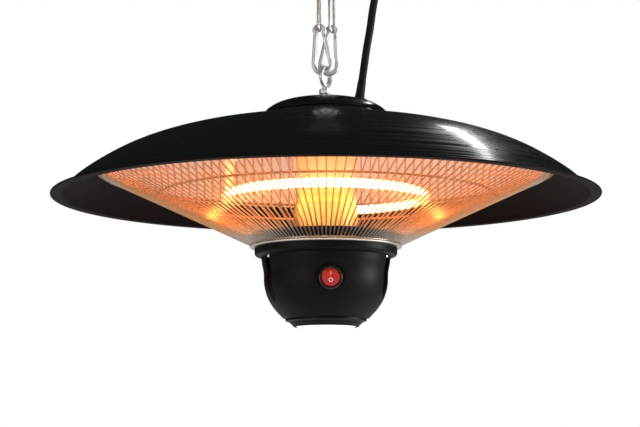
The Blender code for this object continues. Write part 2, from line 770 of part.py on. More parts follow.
def build_hub_screws(steel, heater):
    head = mount_plate_top() + GAP
    low = REFLECTOR_HUB_TOP - REFLECTOR_WALL - 0.005
    spacer_top = SHADE_HUB_HEIGHT - SHADE_WALL - GAP
    spacer_low = REFLECTOR_HUB_TOP + GAP
    for number, x, y in hub_spots():
        top = head + HUB_SCREW_HEAD_HEIGHT
        outline = [(0.0, low), (HUB_SCREW_RADIUS, low), (HUB_SCREW_RADIUS, head), (HUB_SCREW_HEAD_RADIUS, head),
                   (HUB_SCREW_HEAD_RADIUS, top - 0.0008), (HUB_SCREW_HEAD_RADIUS * 0.6, top), (0.0, top)]
        name = "hub_screw_%d" % number
        finish(name, turned(name, outline, 10), steel, heater, from_rim(heater, x, y))
        outline = [(HUB_SCREW_HOLE_RADIUS, spacer_low), (SPACER_RADIUS, spacer_low), (SPACER_RADIUS, spacer_top),
                   (HUB_SCREW_HOLE_RADIUS, spacer_top)]
        name = "hub_spacer_%d" % number
        finish(name, turned(name, outline, 10), steel, heater, from_rim(heater, x, y))


def build_terminal_block(plastic, heater):
    low = mount_plate_top() + GAP
    base = block("terminal_block", (0.013, 0.030, 0.0050), (-0.026, 0.004, low + 0.0025))
    terminal = finish("terminal_block", base, plastic, heater, from_rim(heater))
    for i in range(3):
        tower = block("tower", (0.0075, 0.0076, 0.0035), (-0.026, -0.006 + 0.010 * i, low + 0.0060))
        combine(terminal, tower, "UNION")


# Shade, a spun dome with a narrow flat lip
def shade_outline():
    crown = [(between(SHADE_HUB_RADIUS, LIP_INNER_RADIUS, out), SHADE_HUB_HEIGHT * up)
             for out, up in SHADE_CURVE]
    return [(SHADE_HOLE_RADIUS, SHADE_HUB_HEIGHT), (SHADE_HUB_RADIUS, SHADE_HUB_HEIGHT)] + crown


def build_shade(material, heater):
    outer = shade_outline()
    inner = offset(outer, SHADE_WALL)
    inner[0] = (SHADE_HOLE_RADIUS, SHADE_HUB_HEIGHT - SHADE_WALL)
    inner[1] = (SHADE_HUB_RADIUS - 0.0005, SHADE_HUB_HEIGHT - SHADE_WALL)
    edge = LIP_THICK / 2
    inner[-1] = (LIP_INNER_RADIUS - SHADE_WALL - edge * 0.3, edge)
    lip = [(LIP_INNER_RADIUS + 0.0012, LIP_THICK)]
    lip += [(SHADE_RADIUS - edge * 0.4, LIP_THICK), (SHADE_RADIUS, edge), (SHADE_RADIUS - edge * 0.4, 0.0)]
    lip += [(LIP_INNER_RADIUS - 0.0002, 0.0)]
    mesh = turned("shade", outer + lip + inner[::-1], SHADE_SEGMENTS)
    shade = finish("shade", mesh, material, heater, from_rim(heater))
    drill_hub(shade, SHADE_HUB_HEIGHT - 0.01, SHADE_HUB_HEIGHT + 0.01)


def reflector_outline():
    bottom = REFLECTOR_HUB_TOP - REFLECTOR_WALL
    edge = REFLECTOR_RIM_RADIUS - REFLECTOR_RIM_WIDTH
    bowl = [(between(REFLECTOR_HUB_RADIUS, edge, out), between(REFLECTOR_RIM_HEIGHT, bottom, up))
            for out, up in REFLECTOR_CURVE]
    return [(REFLECTOR_HOLE_RADIUS, bottom)] + bowl + [(REFLECTOR_RIM_RADIUS, REFLECTOR_RIM_HEIGHT)]


def build_reflector(material, heater):
    lower = reflector_outline()
    upper = offset(lower, -REFLECTOR_WALL)
    upper[0] = (REFLECTOR_HOLE_RADIUS, REFLECTOR_HUB_TOP)
    upper[-1] = (REFLECTOR_RIM_RADIUS, lower[-1][1] + REFLECTOR_WALL)
    mesh = turned("reflector", lower + upper[::-1])
    reflector = finish("reflector", mesh, material, heater, from_rim(heater))
    drill_hub(reflector, REFLECTOR_HUB_TOP - 0.01, REFLECTOR_HUB_TOP + 0.01)


# Ring lamp: a long arc of tube whose ends turn up into their holders
def lamp_path():
    points = []
    ends = (LAMP_START, LAMP_START + LAMP_SWEEP)
    first = math.radians(ends[0])
    last = math.radians(ends[1])
    rise = LAMP_HEIGHT + LAMP_RISE

    def at(angle, along, height):
        x = LAMP_RADIUS * math.cos(angle) - along * math.sin(angle)
        y = LAMP_RADIUS * math.sin(angle) + along * math.cos(angle)
        return (x, y, height)

    points.append(at(first, -LAMP_BEND, rise))
    for along, height in arc((0.0, LAMP_BEND), LAMP_BEND, 180, 250, 4):
        points.append(at(first, along, LAMP_HEIGHT + height))
    count = 24
    for i in range(count + 1):
        points.append(at(first + (last - first) * i / count, 0.0, LAMP_HEIGHT))
    for along, height in arc((0.0, LAMP_BEND), LAMP_BEND, 290, 360, 4):
        points.append(at(last, along, LAMP_HEIGHT + height))
    points.append(at(last, LAMP_BEND, rise))
    return points


def reflector_height(radius):
    path = reflector_outline()
    for a, b in zip(path, path[1:]):
        if a[0] <= radius <= b[0]:
            return a[1] + (b[1] - a[1]) * (radius - a[0]) / (b[0] - a[0])
    return path[-1][1]


def build_lamp(glass, ceramic, heater):
    path = lamp_path()
    tube("ring_lamp", path, LAMP_TUBE_RADIUS, 1, glass, heater, from_rim(heater))
    for number, end in ((1, path[0]), (2, path[-1])):
        radius = math.hypot(end[0], end[1])
        low = end[2] + GAP
        length, width = HOLDER_SIZE
        high = min(reflector_height(radius - width / 2), reflector_height(radius + width / 2)) - GAP
        base = block("holder", (width, length, high - low), (0, 0, (high + low) / 2))
        angle = math.atan2(end[1], end[0])
        name = "lamp_holder_%d" % number
        place = from_rim(heater, end[0], end[1])
        holder = finish(name, base, ceramic, heater, place, (0.0, 0.0, angle))
        socket = rod("socket", LAMP_TUBE_RADIUS + 0.0016, low - 0.0060, low + 0.0040, 12)
        combine(holder, socket, "UNION")
        bore = rod("bore", LAMP_TUBE_RADIUS + GAP, low - 0.0070, low, 12)
        combine(holder, bore, "DIFFERENCE")


# Column: an inner tube hung from the reflector, in a base sleeve that stands on the pan
def build_column(material, heater):
    inner = COLUMN_RADIUS - COLUMN_WALL
    top = REFLECTOR_HUB_TOP - REFLECTOR_WALL - GAP
    low = PAN_FLOOR_BOTTOM + PAN_FLOOR_THICK + 0.004
    outline = [(inner, low), (COLUMN_RADIUS, low), (COLUMN_RADIUS, top - 0.0020),
               (COLUMN_FLANGE_RADIUS, top - 0.0012), (COLUMN_FLANGE_RADIUS, top), (inner, top)]
    column = finish("column_tube", turned("column_tube", outline, 24), material, heater, from_rim(heater))
    drill_hub(column, top - 0.01, top + 0.01)
    bore = COLUMN_RADIUS + GAP
    low = PAN_FLOOR_BOTTOM + PAN_FLOOR_THICK + GAP
    outline = [(bore, low), (bore + BASE_WALL + 0.0040, low), (bore + BASE_WALL + 0.0040, low + 0.0012),
               (bore + BASE_WALL + 0.0012, low + 0.0020), (bore + BASE_WALL, BASE_TOP), (bore, BASE_TOP)]
    finish("column_base", turned("column_base", outline, 24), material, heater, from_rim(heater))


def build_pan(material, heater):
    low = PAN_FLOOR_BOTTOM
    top = low + PAN_FLOOR_THICK
    outline = [(PAN_HOLE_RADIUS, low), (PAN_FLOOR_RADIUS, low), (PAN_FLOOR_RADIUS + 0.0012, low + 0.0040),
               (PAN_RIM_RADIUS, PAN_RIM_HEIGHT), (PAN_RIM_RADIUS - 0.0010, PAN_RIM_HEIGHT + 0.0006),
               (PAN_FLOOR_RADIUS, low + 0.0048), (PAN_FLOOR_RADIUS - 0.0014, top), (PAN_HOLE_RADIUS, top)]
    pan = finish("heat_shield_pan", turned("heat_shield_pan", outline), material, heater, from_rim(heater))
    for x, y in screw_spots():
        combine(pan, rod("hole", SCREW_HOLE_RADIUS, low - 0.005, top + 0.005, 10, (x, y)), "DIFFERENCE")


def corners_of(radius, half_width, height, half_height):
    inner = radius - half_width
    outer = radius + half_width
    top = height + half_height
    low = height - half_height
    return [(inner, top), (outer, top), (outer, low), (inner, low)]


# Wire guard: a cone of square wires between two rings, as one closed lattice
def build_guard(material, heater):
    half_wire = WIRE_WIDTH / 2
    half_height = WIRE_HEIGHT / 2
    rings = ((GUARD_TOP_RADIUS, GUARD_TOP_HEIGHT, GUARD_TOP_BAND / 2),
             (GUARD_LOW_RADIUS, GUARD_LOW_HEIGHT, GUARD_LOW_BAND / 2))
    bm = bmesh.new()
    corners = []
    for radius, height, half_band in rings:
        stations = []
        for k in range(WIRE_COUNT):
            middle = 2 * math.pi * k / WIRE_COUNT
            spread = half_wire / radius
            for angle in (middle - spread, middle + spread):
                section = []
                for r, z in corners_of(radius, half_band, height, half_height):
                    section.append(bm.verts.new((r * math.cos(angle), r * math.sin(angle), z)))
                stations.append(section)
        corners.append(stations)
    # Side 3 of a section is the ring's inner wall, and side 1 its outer wall
    for stations, open_side in zip(corners, (3, 1)):
        for i, section in enumerate(stations):
            following = stations[(i + 1) % len(stations)]
            for side in range(4):
                if i % 2 == 0 and side == open_side:
                    continue
                a, b = side, (side + 1) % 4
                bm.faces.new((section[a], section[b], following[b], following[a]))
    for k in range(WIRE_COUNT):
        upper = corners[0][2 * k:2 * k + 2]
        lower = corners[1][2 * k:2 * k + 2]
        outer_end = (upper[0][0], upper[1][0], upper[1][3], upper[0][3])
        inner_end = (lower[0][1], lower[1][1], lower[1][2], lower[0][2])
        for side in range(4):
            following = (side + 1) % 4
            bm.faces.new((outer_end[side], outer_end[following], inner_end[following], inner_end[side]))
    finish("wire_guard", mesh_from(bm, "wire_guard"), material, heater, from_rim(heater))


def guard_wire_top(radius):
    # Height of the wires' upper side at a radius
    outer = GUARD_TOP_RADIUS - GUARD_TOP_BAND / 2
    inner = GUARD_LOW_RADIUS + GUARD_LOW_BAND / 2
    share = (radius - inner) / (outer - inner)
    return GUARD_LOW_HEIGHT + (GUARD_TOP_HEIGHT - GUARD_LOW_HEIGHT) * share + WIRE_HEIGHT / 2


def build_guard_rings(steel, silver, heater):
    half = MID_RING_WIRE / 2
    low = guard_wire_top(MID_RING_RADIUS + half) + GAP
    outline = [(MID_RING_RADIUS - half, low), (MID_RING_RADIUS + half, low),
               (MID_RING_RADIUS + half, low + MID_RING_WIRE), (MID_RING_RADIUS - half, low + MID_RING_WIRE)]
    mesh = turned("guard_mid_ring", outline, WIRE_COUNT // 2)
    finish("guard_mid_ring", mesh, steel, heater, from_rim(heater))
    top = PAN_FLOOR_BOTTOM - GAP
    low = top - TRIM_THICK
    edge = TRIM_THICK / 2
    outline = [(TRIM_INNER_RADIUS, low), (TRIM_OUTER_RADIUS - edge * 0.5, low), (TRIM_OUTER_RADIUS, low + edge),
               (TRIM_OUTER_RADIUS - edge * 0.3, top), (TRIM_INNER_RADIUS, top)]
    finish("guard_trim_ring", turned("guard_trim_ring", outline), silver, heater, from_rim(heater))


def build_guard_clips(steel, heater):
    # Each clip lies on the reflector's rim and wraps round the guard's outer ring
    back = REFLECTOR_RIM_RADIUS + GAP
    upper = REFLECTOR_RIM_RADIUS - CLIP_UPPER_REACH
    lower = REFLECTOR_RIM_RADIUS - CLIP_LOWER_REACH
    top = REFLECTOR_RIM_HEIGHT + REFLECTOR_WALL + GAP
    low = GUARD_TOP_HEIGHT - WIRE_HEIGHT / 2 - GAP
    outline = [(lower, low), (lower, low - CLIP_THICK), (back + CLIP_THICK, low - CLIP_THICK),
               (back + CLIP_THICK, top + CLIP_THICK), (upper, top + CLIP_THICK), (upper, top), (back, top),
               (back, low)]
    for i in range(CLIP_COUNT):
        name = "guard_clip_%d" % (i + 1)
        mesh = prism(name, outline, -CLIP_WIDTH / 2, CLIP_WIDTH / 2)
        angle = math.radians(30 + 360 * i / CLIP_COUNT)
        turn = Matrix.Rotation(angle, 4, "Z") @ Matrix.Rotation(math.pi / 2, 4, "X")
        clip = finish(name, mesh, steel, heater, from_rim(heater))
        clip.rotation_euler = turn.to_euler()


# Lower housing, a moulded cup with three screw grooves and a round switch recess
def housing_outline():
    wall = []
    for inward, down in HOUSING_CURVE:
        radius = between(HOUSING_BELLY_RADIUS, HOUSING_FOOT_RADIUS, inward)
        wall.append((radius, between(HOUSING_TOP, HOUSING_FOOT, down)))
    low = HOUSING_TOP - HOUSING_FLANGE_DEPTH
    edge = HOUSING_FLANGE_RADIUS
    flange = [(edge, HOUSING_TOP), (edge - 0.0009, low + 0.0055), (edge - 0.0029, low + 0.0015)]
    flange += [(edge - 0.0054, low)]
    return flange + wall


def housing_turned(x, y):
    return Matrix.Rotation(math.radians(HOUSING_TURN), 4, "Z") @ Vector((x, y, 0.0))


def screw_spots():
    for angle in SLOT_ANGLES:
        turn = math.radians(angle)
        spot = housing_turned(SLOT_CIRCLE * math.sin(turn), -SLOT_CIRCLE * math.cos(turn))
        yield spot.x, spot.y


def switch_frame(distance=0.0):
    # Local Z points out of the switch, towards the viewer
    turn = Matrix.Rotation(math.radians(HOUSING_TURN), 4, "Z")
    out = Matrix.Translation((0.0, -distance, SWITCH_HEIGHT)) @ Matrix.Rotation(math.pi / 2, 4, "X")
    return turn @ out


def build_housing(material, heater):
    outer = housing_outline()
    bottom = HOUSING_FOOT
    step = [(HOUSING_STEP_RADIUS + 0.0010, bottom - 0.0006), (HOUSING_STEP_RADIUS, bottom - HOUSING_STEP)]
    shell = [(0.0, HOUSING_TOP)] + outer + step + [(0.0, bottom - HOUSING_STEP)]
    housing = finish("lower_housing", turned("lower_housing", shell, 36), material, heater, from_rim(heater))
    wall = offset(outer, HOUSING_WALL)[3:]
    wall = [(r, z) for r, z in wall if z > bottom + HOUSING_WALL]
    inside = [(0.0, HOUSING_TOP + 0.01), (0.0600, HOUSING_TOP + 0.01), (0.0600, wall[0][1] + 0.0030)]
    inside += wall + [(HOUSING_OPENING_RADIUS + 0.003, bottom + HOUSING_WALL), (0.0, bottom + HOUSING_WALL)]
    cavity = combine(housing, turned("cavity", inside, 24), "DIFFERENCE")
    for x, y in screw_spots():
        boss = rod("boss", SLOT_RADIUS + SLOT_WALL, HOUSING_TOP - 0.09, HOUSING_TOP + 0.02, 12, (x, y))
        combine(cavity, boss, "DIFFERENCE")
    recess = rod("boss", SWITCH_RECESS_RADIUS + SWITCH_BOSS_WALL, SWITCH_RECESS_FLOOR - HOUSING_WALL, 0.09, 20)
    combine(cavity, recess, "DIFFERENCE", switch_frame())
    for x, y in screw_spots():
        combine(housing, rod("slot", SLOT_RADIUS, bottom - 0.005, SLOT_TOP, 14, (x, y)), "DIFFERENCE")
        hole = rod("hole", SCREW_HOLE_RADIUS, SLOT_TOP - 0.005, HOUSING_TOP + 0.01, 10, (x, y))
        combine(housing, hole, "DIFFERENCE")
    recess = rod("recess", SWITCH_RECESS_RADIUS, SWITCH_RECESS_FLOOR, 0.09, 24)
    combine(housing, recess, "DIFFERENCE", switch_frame())
    combine(housing, rod("hole", SWITCH_HOLE_RADIUS, 0.03, 0.08, 20), "DIFFERENCE", switch_frame())
    opening = rod("opening", HOUSING_OPENING_RADIUS, bottom - 0.01, bottom + 0.02, 32)
    combine(housing, opening, "DIFFERENCE")


def build_housing_screws(steel, heater):
    head_top = SLOT_TOP - GAP
    words = ("left", "right", "rear")
    for word, (x, y) in zip(words, screw_spots()):
        high = PAN_FLOOR_BOTTOM + PAN_FLOOR_THICK + 0.0020
        low = head_top - SCREW_HEAD_HEIGHT
        outline = [(0.0, low), (SCREW_HEAD_RADIUS * 0.65, low), (SCREW_HEAD_RADIUS, low + 0.0009),
                   (SCREW_HEAD_RADIUS, head_top), (SCREW_RADIUS, head_top), (SCREW_RADIUS, high), (0.0, high)]
        name = "housing_screw_" + word
        finish(name, turned(name, outline, 12), steel, heater, from_rim(heater, x, y))


def build_switch(body_plastic, red, heater):
    place = Matrix.Translation(from_rim(heater)) @ switch_frame()
    floor = SWITCH_RECESS_FLOOR + GAP
    face = floor + SWITCH_BEZEL_THICK
    back = floor - SWITCH_DEPTH
    pocket = rocker_axis_distance() - ROCKER_RADIUS - GAP
    outline = [(0.0, back), (SWITCH_BODY_RADIUS - 0.0008, back), (SWITCH_BODY_RADIUS, back + 0.0008),
               (SWITCH_BODY_RADIUS, floor), (SWITCH_BEZEL_RADIUS, floor), (SWITCH_BEZEL_RADIUS, face - 0.0010),
               (SWITCH_BEZEL_RADIUS - 0.0009, face), (ROCKER_POCKET_RADIUS + 0.0003, face),
               (ROCKER_POCKET_RADIUS, face - 0.0003), (ROCKER_POCKET_RADIUS, pocket), (0.0, pocket)]
    finish("switch_body", turned("switch_body", outline, 20), body_plastic, heater, place.to_translation(),
           place.to_euler())
    build_rocker(red, heater, place)


def rocker_axis_distance():
    return SWITCH_RECESS_FLOOR + GAP + SWITCH_BEZEL_THICK - ROCKER_CREST * 0.62


def build_rocker(material, heater, place):
    # Part of a ball, so that it turns in its round pocket, with a shallow roof for a face
    joint = pivot("switch_rocker_pivot", (0, 0, 0))
    joint.parent = heater
    centre = place @ Vector((0.0, 0.0, rocker_axis_distance()))
    joint.location = centre
    turn = place.to_euler().to_matrix() @ Matrix.Rotation(math.radians(-ROCKER_SLOPE), 3, "X")
    joint.rotation_euler = turn.to_euler()
    bm = bmesh.new()
    bmesh.ops.create_uvsphere(bm, u_segments=20, v_segments=14, radius=ROCKER_RADIUS)
    slope = math.radians(ROCKER_SLOPE)
    planes = [((0, 0, ROCKER_CREST), (0, math.sin(slope), math.cos(slope))),
              ((0, 0, ROCKER_CREST), (0, -math.sin(slope), math.cos(slope))),
              ((0, 0, -ROCKER_RADIUS * 0.62), (0, 0, -1))]
    for point, normal in planes:
        everything = bm.verts[:] + bm.edges[:] + bm.faces[:]
        cut = bmesh.ops.bisect_plane(bm, geom=everything, dist=1e-7, plane_co=point, plane_no=normal,
                                     clear_outer=True)
        rim = [e for e in cut["geom_cut"] if isinstance(e, bmesh.types.BMEdge)]
        bmesh.ops.contextual_create(bm, geom=rim)
    finish("switch_rocker", mesh_from(bm, "switch_rocker"), material, joint, (0, 0, 0))


# Lamp in the bottom of the housing
def build_down_light(plastic, glass, board_material, heater):
    bottom = HOUSING_FOOT - HOUSING_STEP
    top = LENS_RING_TOP
    low = LENS_RIM_HEIGHT - 0.0006
    seat = LENS_RIM_HEIGHT + LENS_SEAT
    neck = HOUSING_OPENING_RADIUS - GAP
    bore = LENS_RADIUS + GAP
    outer = [(neck, top), (neck, bottom - GAP), (HOUSING_STEP_RADIUS - 0.0002, bottom - GAP),
             (HOUSING_STEP_RADIUS - 0.0002, bottom - 0.0022), (HOUSING_STEP_RADIUS - 0.0033, bottom - 0.0034),
             (bore + 0.0042, bottom - 0.0062), (bore + 0.0019, low)]
    inner = [(bore, low), (bore, seat), (bore - LENS_WALL, seat), (bore - LENS_WALL, seat + 0.0012),
             (neck - LENS_RING_WALL, top)]
    finish("lens_ring", turned("lens_ring", outer + inner, 24), plastic, heater, from_rim(heater))
    rim = seat - GAP
    low = LENS_RIM_HEIGHT
    sphere = (LENS_RADIUS ** 2 + LENS_CROWN ** 2) / (2 * LENS_CROWN)
    half_angle = math.degrees(math.asin(LENS_RADIUS / sphere))
    outer = arc((0.0, low - LENS_CROWN + sphere), sphere, 270, 270 + half_angle, 4)
    outer[0] = (0.0, low - LENS_CROWN)
    inner = [(LENS_RADIUS, rim), (LENS_RADIUS - LENS_WALL, rim)]
    hollow = arc((0.0, low - LENS_CROWN + sphere), sphere - LENS_WALL, 270 + half_angle * 0.93, 270, 4)
    hollow[-1] = (0.0, low - LENS_CROWN + LENS_WALL)
    finish("lamp_lens", turned("lamp_lens", outer + inner + hollow, 20), glass, heater, from_rim(heater))
    low = top + GAP
    outline = [(0.0, low), (BOARD_RADIUS, low), (BOARD_RADIUS, low + BOARD_THICK), (0.0, low + BOARD_THICK)]
    finish("led_board", turned("led_board", outline, 24), board_material, heater, from_rim(heater))


# Mains cable: the stretch that hangs free, the tied coil, the end with the plug
def relief_tip():
    return gland_frame() @ Vector((0.0, 0.0, RELIEF_LENGTH + GAP))


def coil_points():
    # Spirals in over one layer, climbs to the next in the half turn where it reverses, and spirals out again
    total = COIL_TURNS * 2 * math.pi
    middle = total / 2
    layer = COIL_PITCH / 2
    count = round(COIL_TURNS * COIL_STEPS)
    points = []
    for i in range(count + 1):
        angle = total * i / count
        wound = min(angle, total - angle)
        radius = COIL_OUTER - COIL_PITCH * wound / (2 * math.pi)
        share = min(max((angle - middle) / math.pi + 0.5, 0.0), 1.0)
        y = COIL_Y - layer + 2 * layer * (share * share * (3 - 2 * share))
        turn = math.radians(COIL_START) + angle
        points.append(Vector((COIL_X + radius * math.cos(turn), y, COIL_HEIGHT + radius * math.sin(turn))))
    return points


def coil_path():
    points = coil_points()
    straight = 2 * CORD_RADIUS
    first = heading(COIL_START)
    last = heading(COIL_START + 360 * COIL_TURNS)
    return [points[0] - first * straight] + points + [points[-1] + last * straight]


def heading(angle):
    turn = math.radians(angle + 90)
    return Vector((math.cos(turn), 0.0, math.sin(turn)))


def cable_route():
    tip = relief_tip()
    up = gland_frame().to_3x3() @ Vector((0.0, 0.0, 1.0))
    end = coil_path()[0] - heading(COIL_START) * GAP
    route = [tip, tip + up * 0.008, Vector((0.0456, 0.0072, 0.1688)), Vector((0.0500, 0.0088, 0.1945)),
             Vector((0.0537, 0.0108, 0.2200)), Vector((0.0580, 0.0133, 0.2380)), end - heading(COIL_START) * 0.004,
             end]
    return route


def lead_route():
    start = coil_path()[-1]
    out = heading(COIL_START + 360 * COIL_TURNS)
    y = start.y
    bend = 0.040
    top = PLUG_TOP + GAP
    route = [start + out * GAP, start + out * 0.006]
    centre = (PLUG_X + bend, top)
    for x, z in arc(centre, bend, 98, 180, 6):
        route.append(Vector((x, y, z + 0.004)))
    route.append(Vector((PLUG_X, y, top)))
    return route


def cord_run(route, steps):
    # Even steps along a smooth curve; the first and the last step keep straight and square to their ends
    ends = [tuple(p) for p in route]
    return [ends[0]] + resample(smooth(ends[1:-1], steps), 4.2 * CORD_RADIUS) + [ends[-1]]


def path_length(points):
    return sum(math.dist(a, b) for a, b in zip(points, points[1:]))


def coil_self_gap(points):
    # Least distance between stretches more than three diameters apart along the cable
    fine = resample([tuple(p) for p in points], CORD_RADIUS)
    skip = 8
    least = 1.0
    for i in range(0, len(fine), 2):
        for j in range(i + skip, len(fine)):
            least = min(least, math.dist(fine[i], fine[j]))
    return least - 2 * CORD_RADIUS


def build_cable(rubber, strap, hanger):
    start = from_rim(hanger)
    free = cord_run(cable_route(), 8)
    tube("power_cable", free, CORD_RADIUS, 2, rubber, hanger, start)
    coil = coil_path()
    tube("cable_coil", coil, CORD_RADIUS, 1, rubber, hanger, start)
    lead = cord_run(lead_route(), 6)
    tube("plug_lead", lead, CORD_RADIUS, 2, rubber, hanger, start)
    lengths = [path_length(part) for part in (free, [tuple(p) for p in coil], lead)]
    print("cable lengths", [round(v, 4) for v in lengths], "total", round(sum(lengths), 4))
    print("least self gap of the coil, mm", round(1000 * coil_self_gap(coil), 3))
    build_tie(strap, hanger)


def build_tie(material, hanger):
    # A band round both strands of the chain and the near side of the coil
    half_link = LINK_WIDTH / 2
    front = -half_link - HOOK_SIDE_STEP * 0.3 - GAP
    back = COIL_Y + COIL_PITCH / 2 + CORD_RADIUS + GAP
    near = [p for p in coil_points() if abs(p.z - TIE_HEIGHT) < TIE_WIDTH and p.x < COIL_X]
    left = min(p.x for p in near) - CORD_RADIUS - 2 * GAP
    right = max(p.x for p in near) + CORD_RADIUS + 4 * GAP
    corner = 0.004

    def band(grow):
        radius = corner + grow
        spots = ((right - corner, back - corner, 0), (left + corner, back - corner, 90),
                 (left + corner, front + corner, 180), (right - corner, front + corner, 270))
        outline = []
        for x, y, start in spots:
            outline += arc((x, y), radius, start, start + 90, 3)
        return outline

    low = TIE_HEIGHT - TIE_WIDTH / 2
    tie = finish("coil_tie", prism("coil_tie", band(TIE_THICK), low, low + TIE_WIDTH), material, hanger,
                 from_rim(hanger))
    combine(tie, prism("band", band(0.0), low - 0.01, low + TIE_WIDTH + 0.01), "DIFFERENCE")


def build_plug(rubber, brass, hanger):
    y = lead_route()[-1].y
    tip = CORD_RADIUS + 0.0006
    low = -PLUG_RELIEF - PLUG_BODY
    outline = [(0.0, low), (PLUG_RADIUS - PLUG_EDGE, low), (PLUG_RADIUS, low + PLUG_EDGE)]
    outline += [(PLUG_RADIUS * out, low + PLUG_BODY * up) for out, up in PLUG_TAPER]
    outline += [(tip, 0.0), (0.0, 0.0)]
    finish("plug_body", turned("plug_body", outline, 16), rubber, hanger, from_rim(hanger, PLUG_X, y, PLUG_TOP))
    for word, side in (("left", -1), ("right", 1)):
        x = side * PIN_SPACING / 2
        name = "plug_pin_" + word
        pin_low = low - PIN_LENGTH
        outline = [(0.0, pin_low), (PIN_RADIUS * 0.6, pin_low), (PIN_RADIUS, pin_low + 0.0015),
                   (PIN_RADIUS, low - GAP), (0.0, low - GAP)]
        finish(name, turned(name, outline, 12), brass, hanger, from_rim(hanger, PLUG_X + x, y, PLUG_TOP))


CHAIN_HEIGHTS = chain_heights()


def build():
    clear_scene()
    black = make_material("shade_black", (0.012, 0.016, 0.017), 0.0, 0.28)
    plastic = make_material("black_plastic", (0.022, 0.019, 0.018), 0.0, 0.45)
    paint = make_material("pan_black", (0.022, 0.019, 0.018), 0.0, 0.6)
    rubber = make_material("black_rubber", (0.03, 0.033, 0.036), 0.0, 0.6)
    zinc = make_material("zinc_steel", (0.62, 0.62, 0.60), 1.0, 0.3)
    wire = make_material("guard_steel", (0.35, 0.30, 0.27), 1.0, 0.4)
    silver = make_material("trim_silver", (0.75, 0.74, 0.72), 1.0, 0.3)
    mirror = make_material("reflector_aluminium", (0.85, 0.80, 0.74), 1.0, 0.25)
    ceramic = make_material("holder_ceramic", (0.85, 0.83, 0.78), 0.0, 0.5)
    quartz = make_material("lamp_quartz", (1.0, 0.75, 0.35), 0.0, 0.1)
    red = make_material("rocker_red", (0.45, 0.02, 0.02), 0.0, 0.35)
    lens = make_material("lens_opal", (0.95, 0.94, 0.90), 0.0, 0.3)
    board = make_material("board_white", (0.80, 0.82, 0.80), 0.0, 0.5)
    brass = make_material("pin_nickel", (0.70, 0.68, 0.62), 1.0, 0.25)
    strap = make_material("tie_strap", (0.03, 0.03, 0.03), 0.0, 0.9)

    eye = eye_height()
    hanger = pivot("hanger_pivot", (0.0, 0.0, saddle_height() - RIM_DROP))
    heater = pivot("heater_pivot", (0.0, 0.0, eye - RIM_DROP), hanger)
    print("saddle height", round(saddle_height(), 5), "eye height", round(eye, 5))

    build_ceiling_plate(zinc)
    build_staple(zinc)
    build_chain(zinc, hanger)
    build_snap_hooks(zinc, hanger)
    build_eye_bolt(zinc, heater, eye)
    build_top_cap(black, heater)
    build_gland(plastic, rubber, heater)
    build_mount_plate(zinc, heater)
    build_hub_screws(zinc, heater)
    build_terminal_block(ceramic, heater)
    build_shade(black, heater)
    build_reflector(mirror, heater)
    build_lamp(quartz, ceramic, heater)
    build_column(mirror, heater)
    build_pan(paint, heater)
    build_guard(wire, heater)
    build_guard_rings(wire, silver, heater)
    build_guard_clips(wire, heater)
    build_housing(plastic, heater)
    build_housing_screws(silver, heater)
    build_switch(plastic, red, heater)
    build_down_light(plastic, lens, board, heater)
    build_cable(rubber, strap, hanger)
    build_plug(rubber, brass, hanger)


build()
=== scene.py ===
# Ceiling-hung infrared heater: looks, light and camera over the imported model
import bpy
import math
from mathutils import Matrix, Vector


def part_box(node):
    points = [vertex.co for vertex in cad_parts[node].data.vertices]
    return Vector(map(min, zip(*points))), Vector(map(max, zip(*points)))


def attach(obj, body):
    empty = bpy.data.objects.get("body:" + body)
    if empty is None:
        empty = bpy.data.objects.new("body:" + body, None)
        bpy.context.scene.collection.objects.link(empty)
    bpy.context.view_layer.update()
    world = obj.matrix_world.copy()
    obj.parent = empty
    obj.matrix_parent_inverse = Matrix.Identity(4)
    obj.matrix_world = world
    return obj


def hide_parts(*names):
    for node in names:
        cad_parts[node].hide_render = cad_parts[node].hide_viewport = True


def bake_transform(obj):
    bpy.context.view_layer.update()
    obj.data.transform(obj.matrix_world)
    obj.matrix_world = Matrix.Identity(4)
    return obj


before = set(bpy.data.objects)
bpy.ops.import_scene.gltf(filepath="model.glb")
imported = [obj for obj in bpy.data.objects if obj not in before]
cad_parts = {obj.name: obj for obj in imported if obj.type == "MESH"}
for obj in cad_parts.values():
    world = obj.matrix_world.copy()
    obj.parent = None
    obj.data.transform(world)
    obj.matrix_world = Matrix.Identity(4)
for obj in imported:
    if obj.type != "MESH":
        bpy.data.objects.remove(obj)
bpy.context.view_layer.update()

# plane of the shade's rim, under the ceiling, and shifts and turns as matrices
rimZ = -0.380

def moved(x=0.0, y=0.0, z=0.0):
    return Matrix.Translation((x, y, z))

def turned(degrees, axis="Z"):
    return Matrix.Rotation(math.radians(degrees), 4, axis)

rim = moved(z=rimZ)
print("frame loaded,", len(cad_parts), "nodes")


# camera, as the photograph was taken
cameraSettings = {"place": (-0.0064, -1.9, -0.6476), "tiltUp": 7.56, "roll": -0.1, "lens": 98.2,
                  "sensor": 36.0, "reach": 50.0}

def makeCamera():
    lensData = bpy.data.cameras.new("camera")
    lensData.lens = cameraSettings["lens"]
    lensData.sensor_width = cameraSettings["sensor"]
    lensData.clip_end = cameraSettings["reach"]
    camera = bpy.data.objects.new("camera", lensData)
    bpy.context.collection.objects.link(camera)
    aim = turned(90 + cameraSettings["tiltUp"], "X") @ turned(cameraSettings["roll"])
    camera.matrix_world = moved(*cameraSettings["place"]) @ aim
    bpy.context.scene.camera = camera

makeCamera()


# small tools for outlines and paths
def arcPoints(cx, cz, radius, start, end, steps):
    points = []
    for i in range(steps + 1):
        angle = math.radians(start + (end - start) * i / steps)
        points.append((cx + radius * math.cos(angle), cz + radius * math.sin(angle)))
    return points

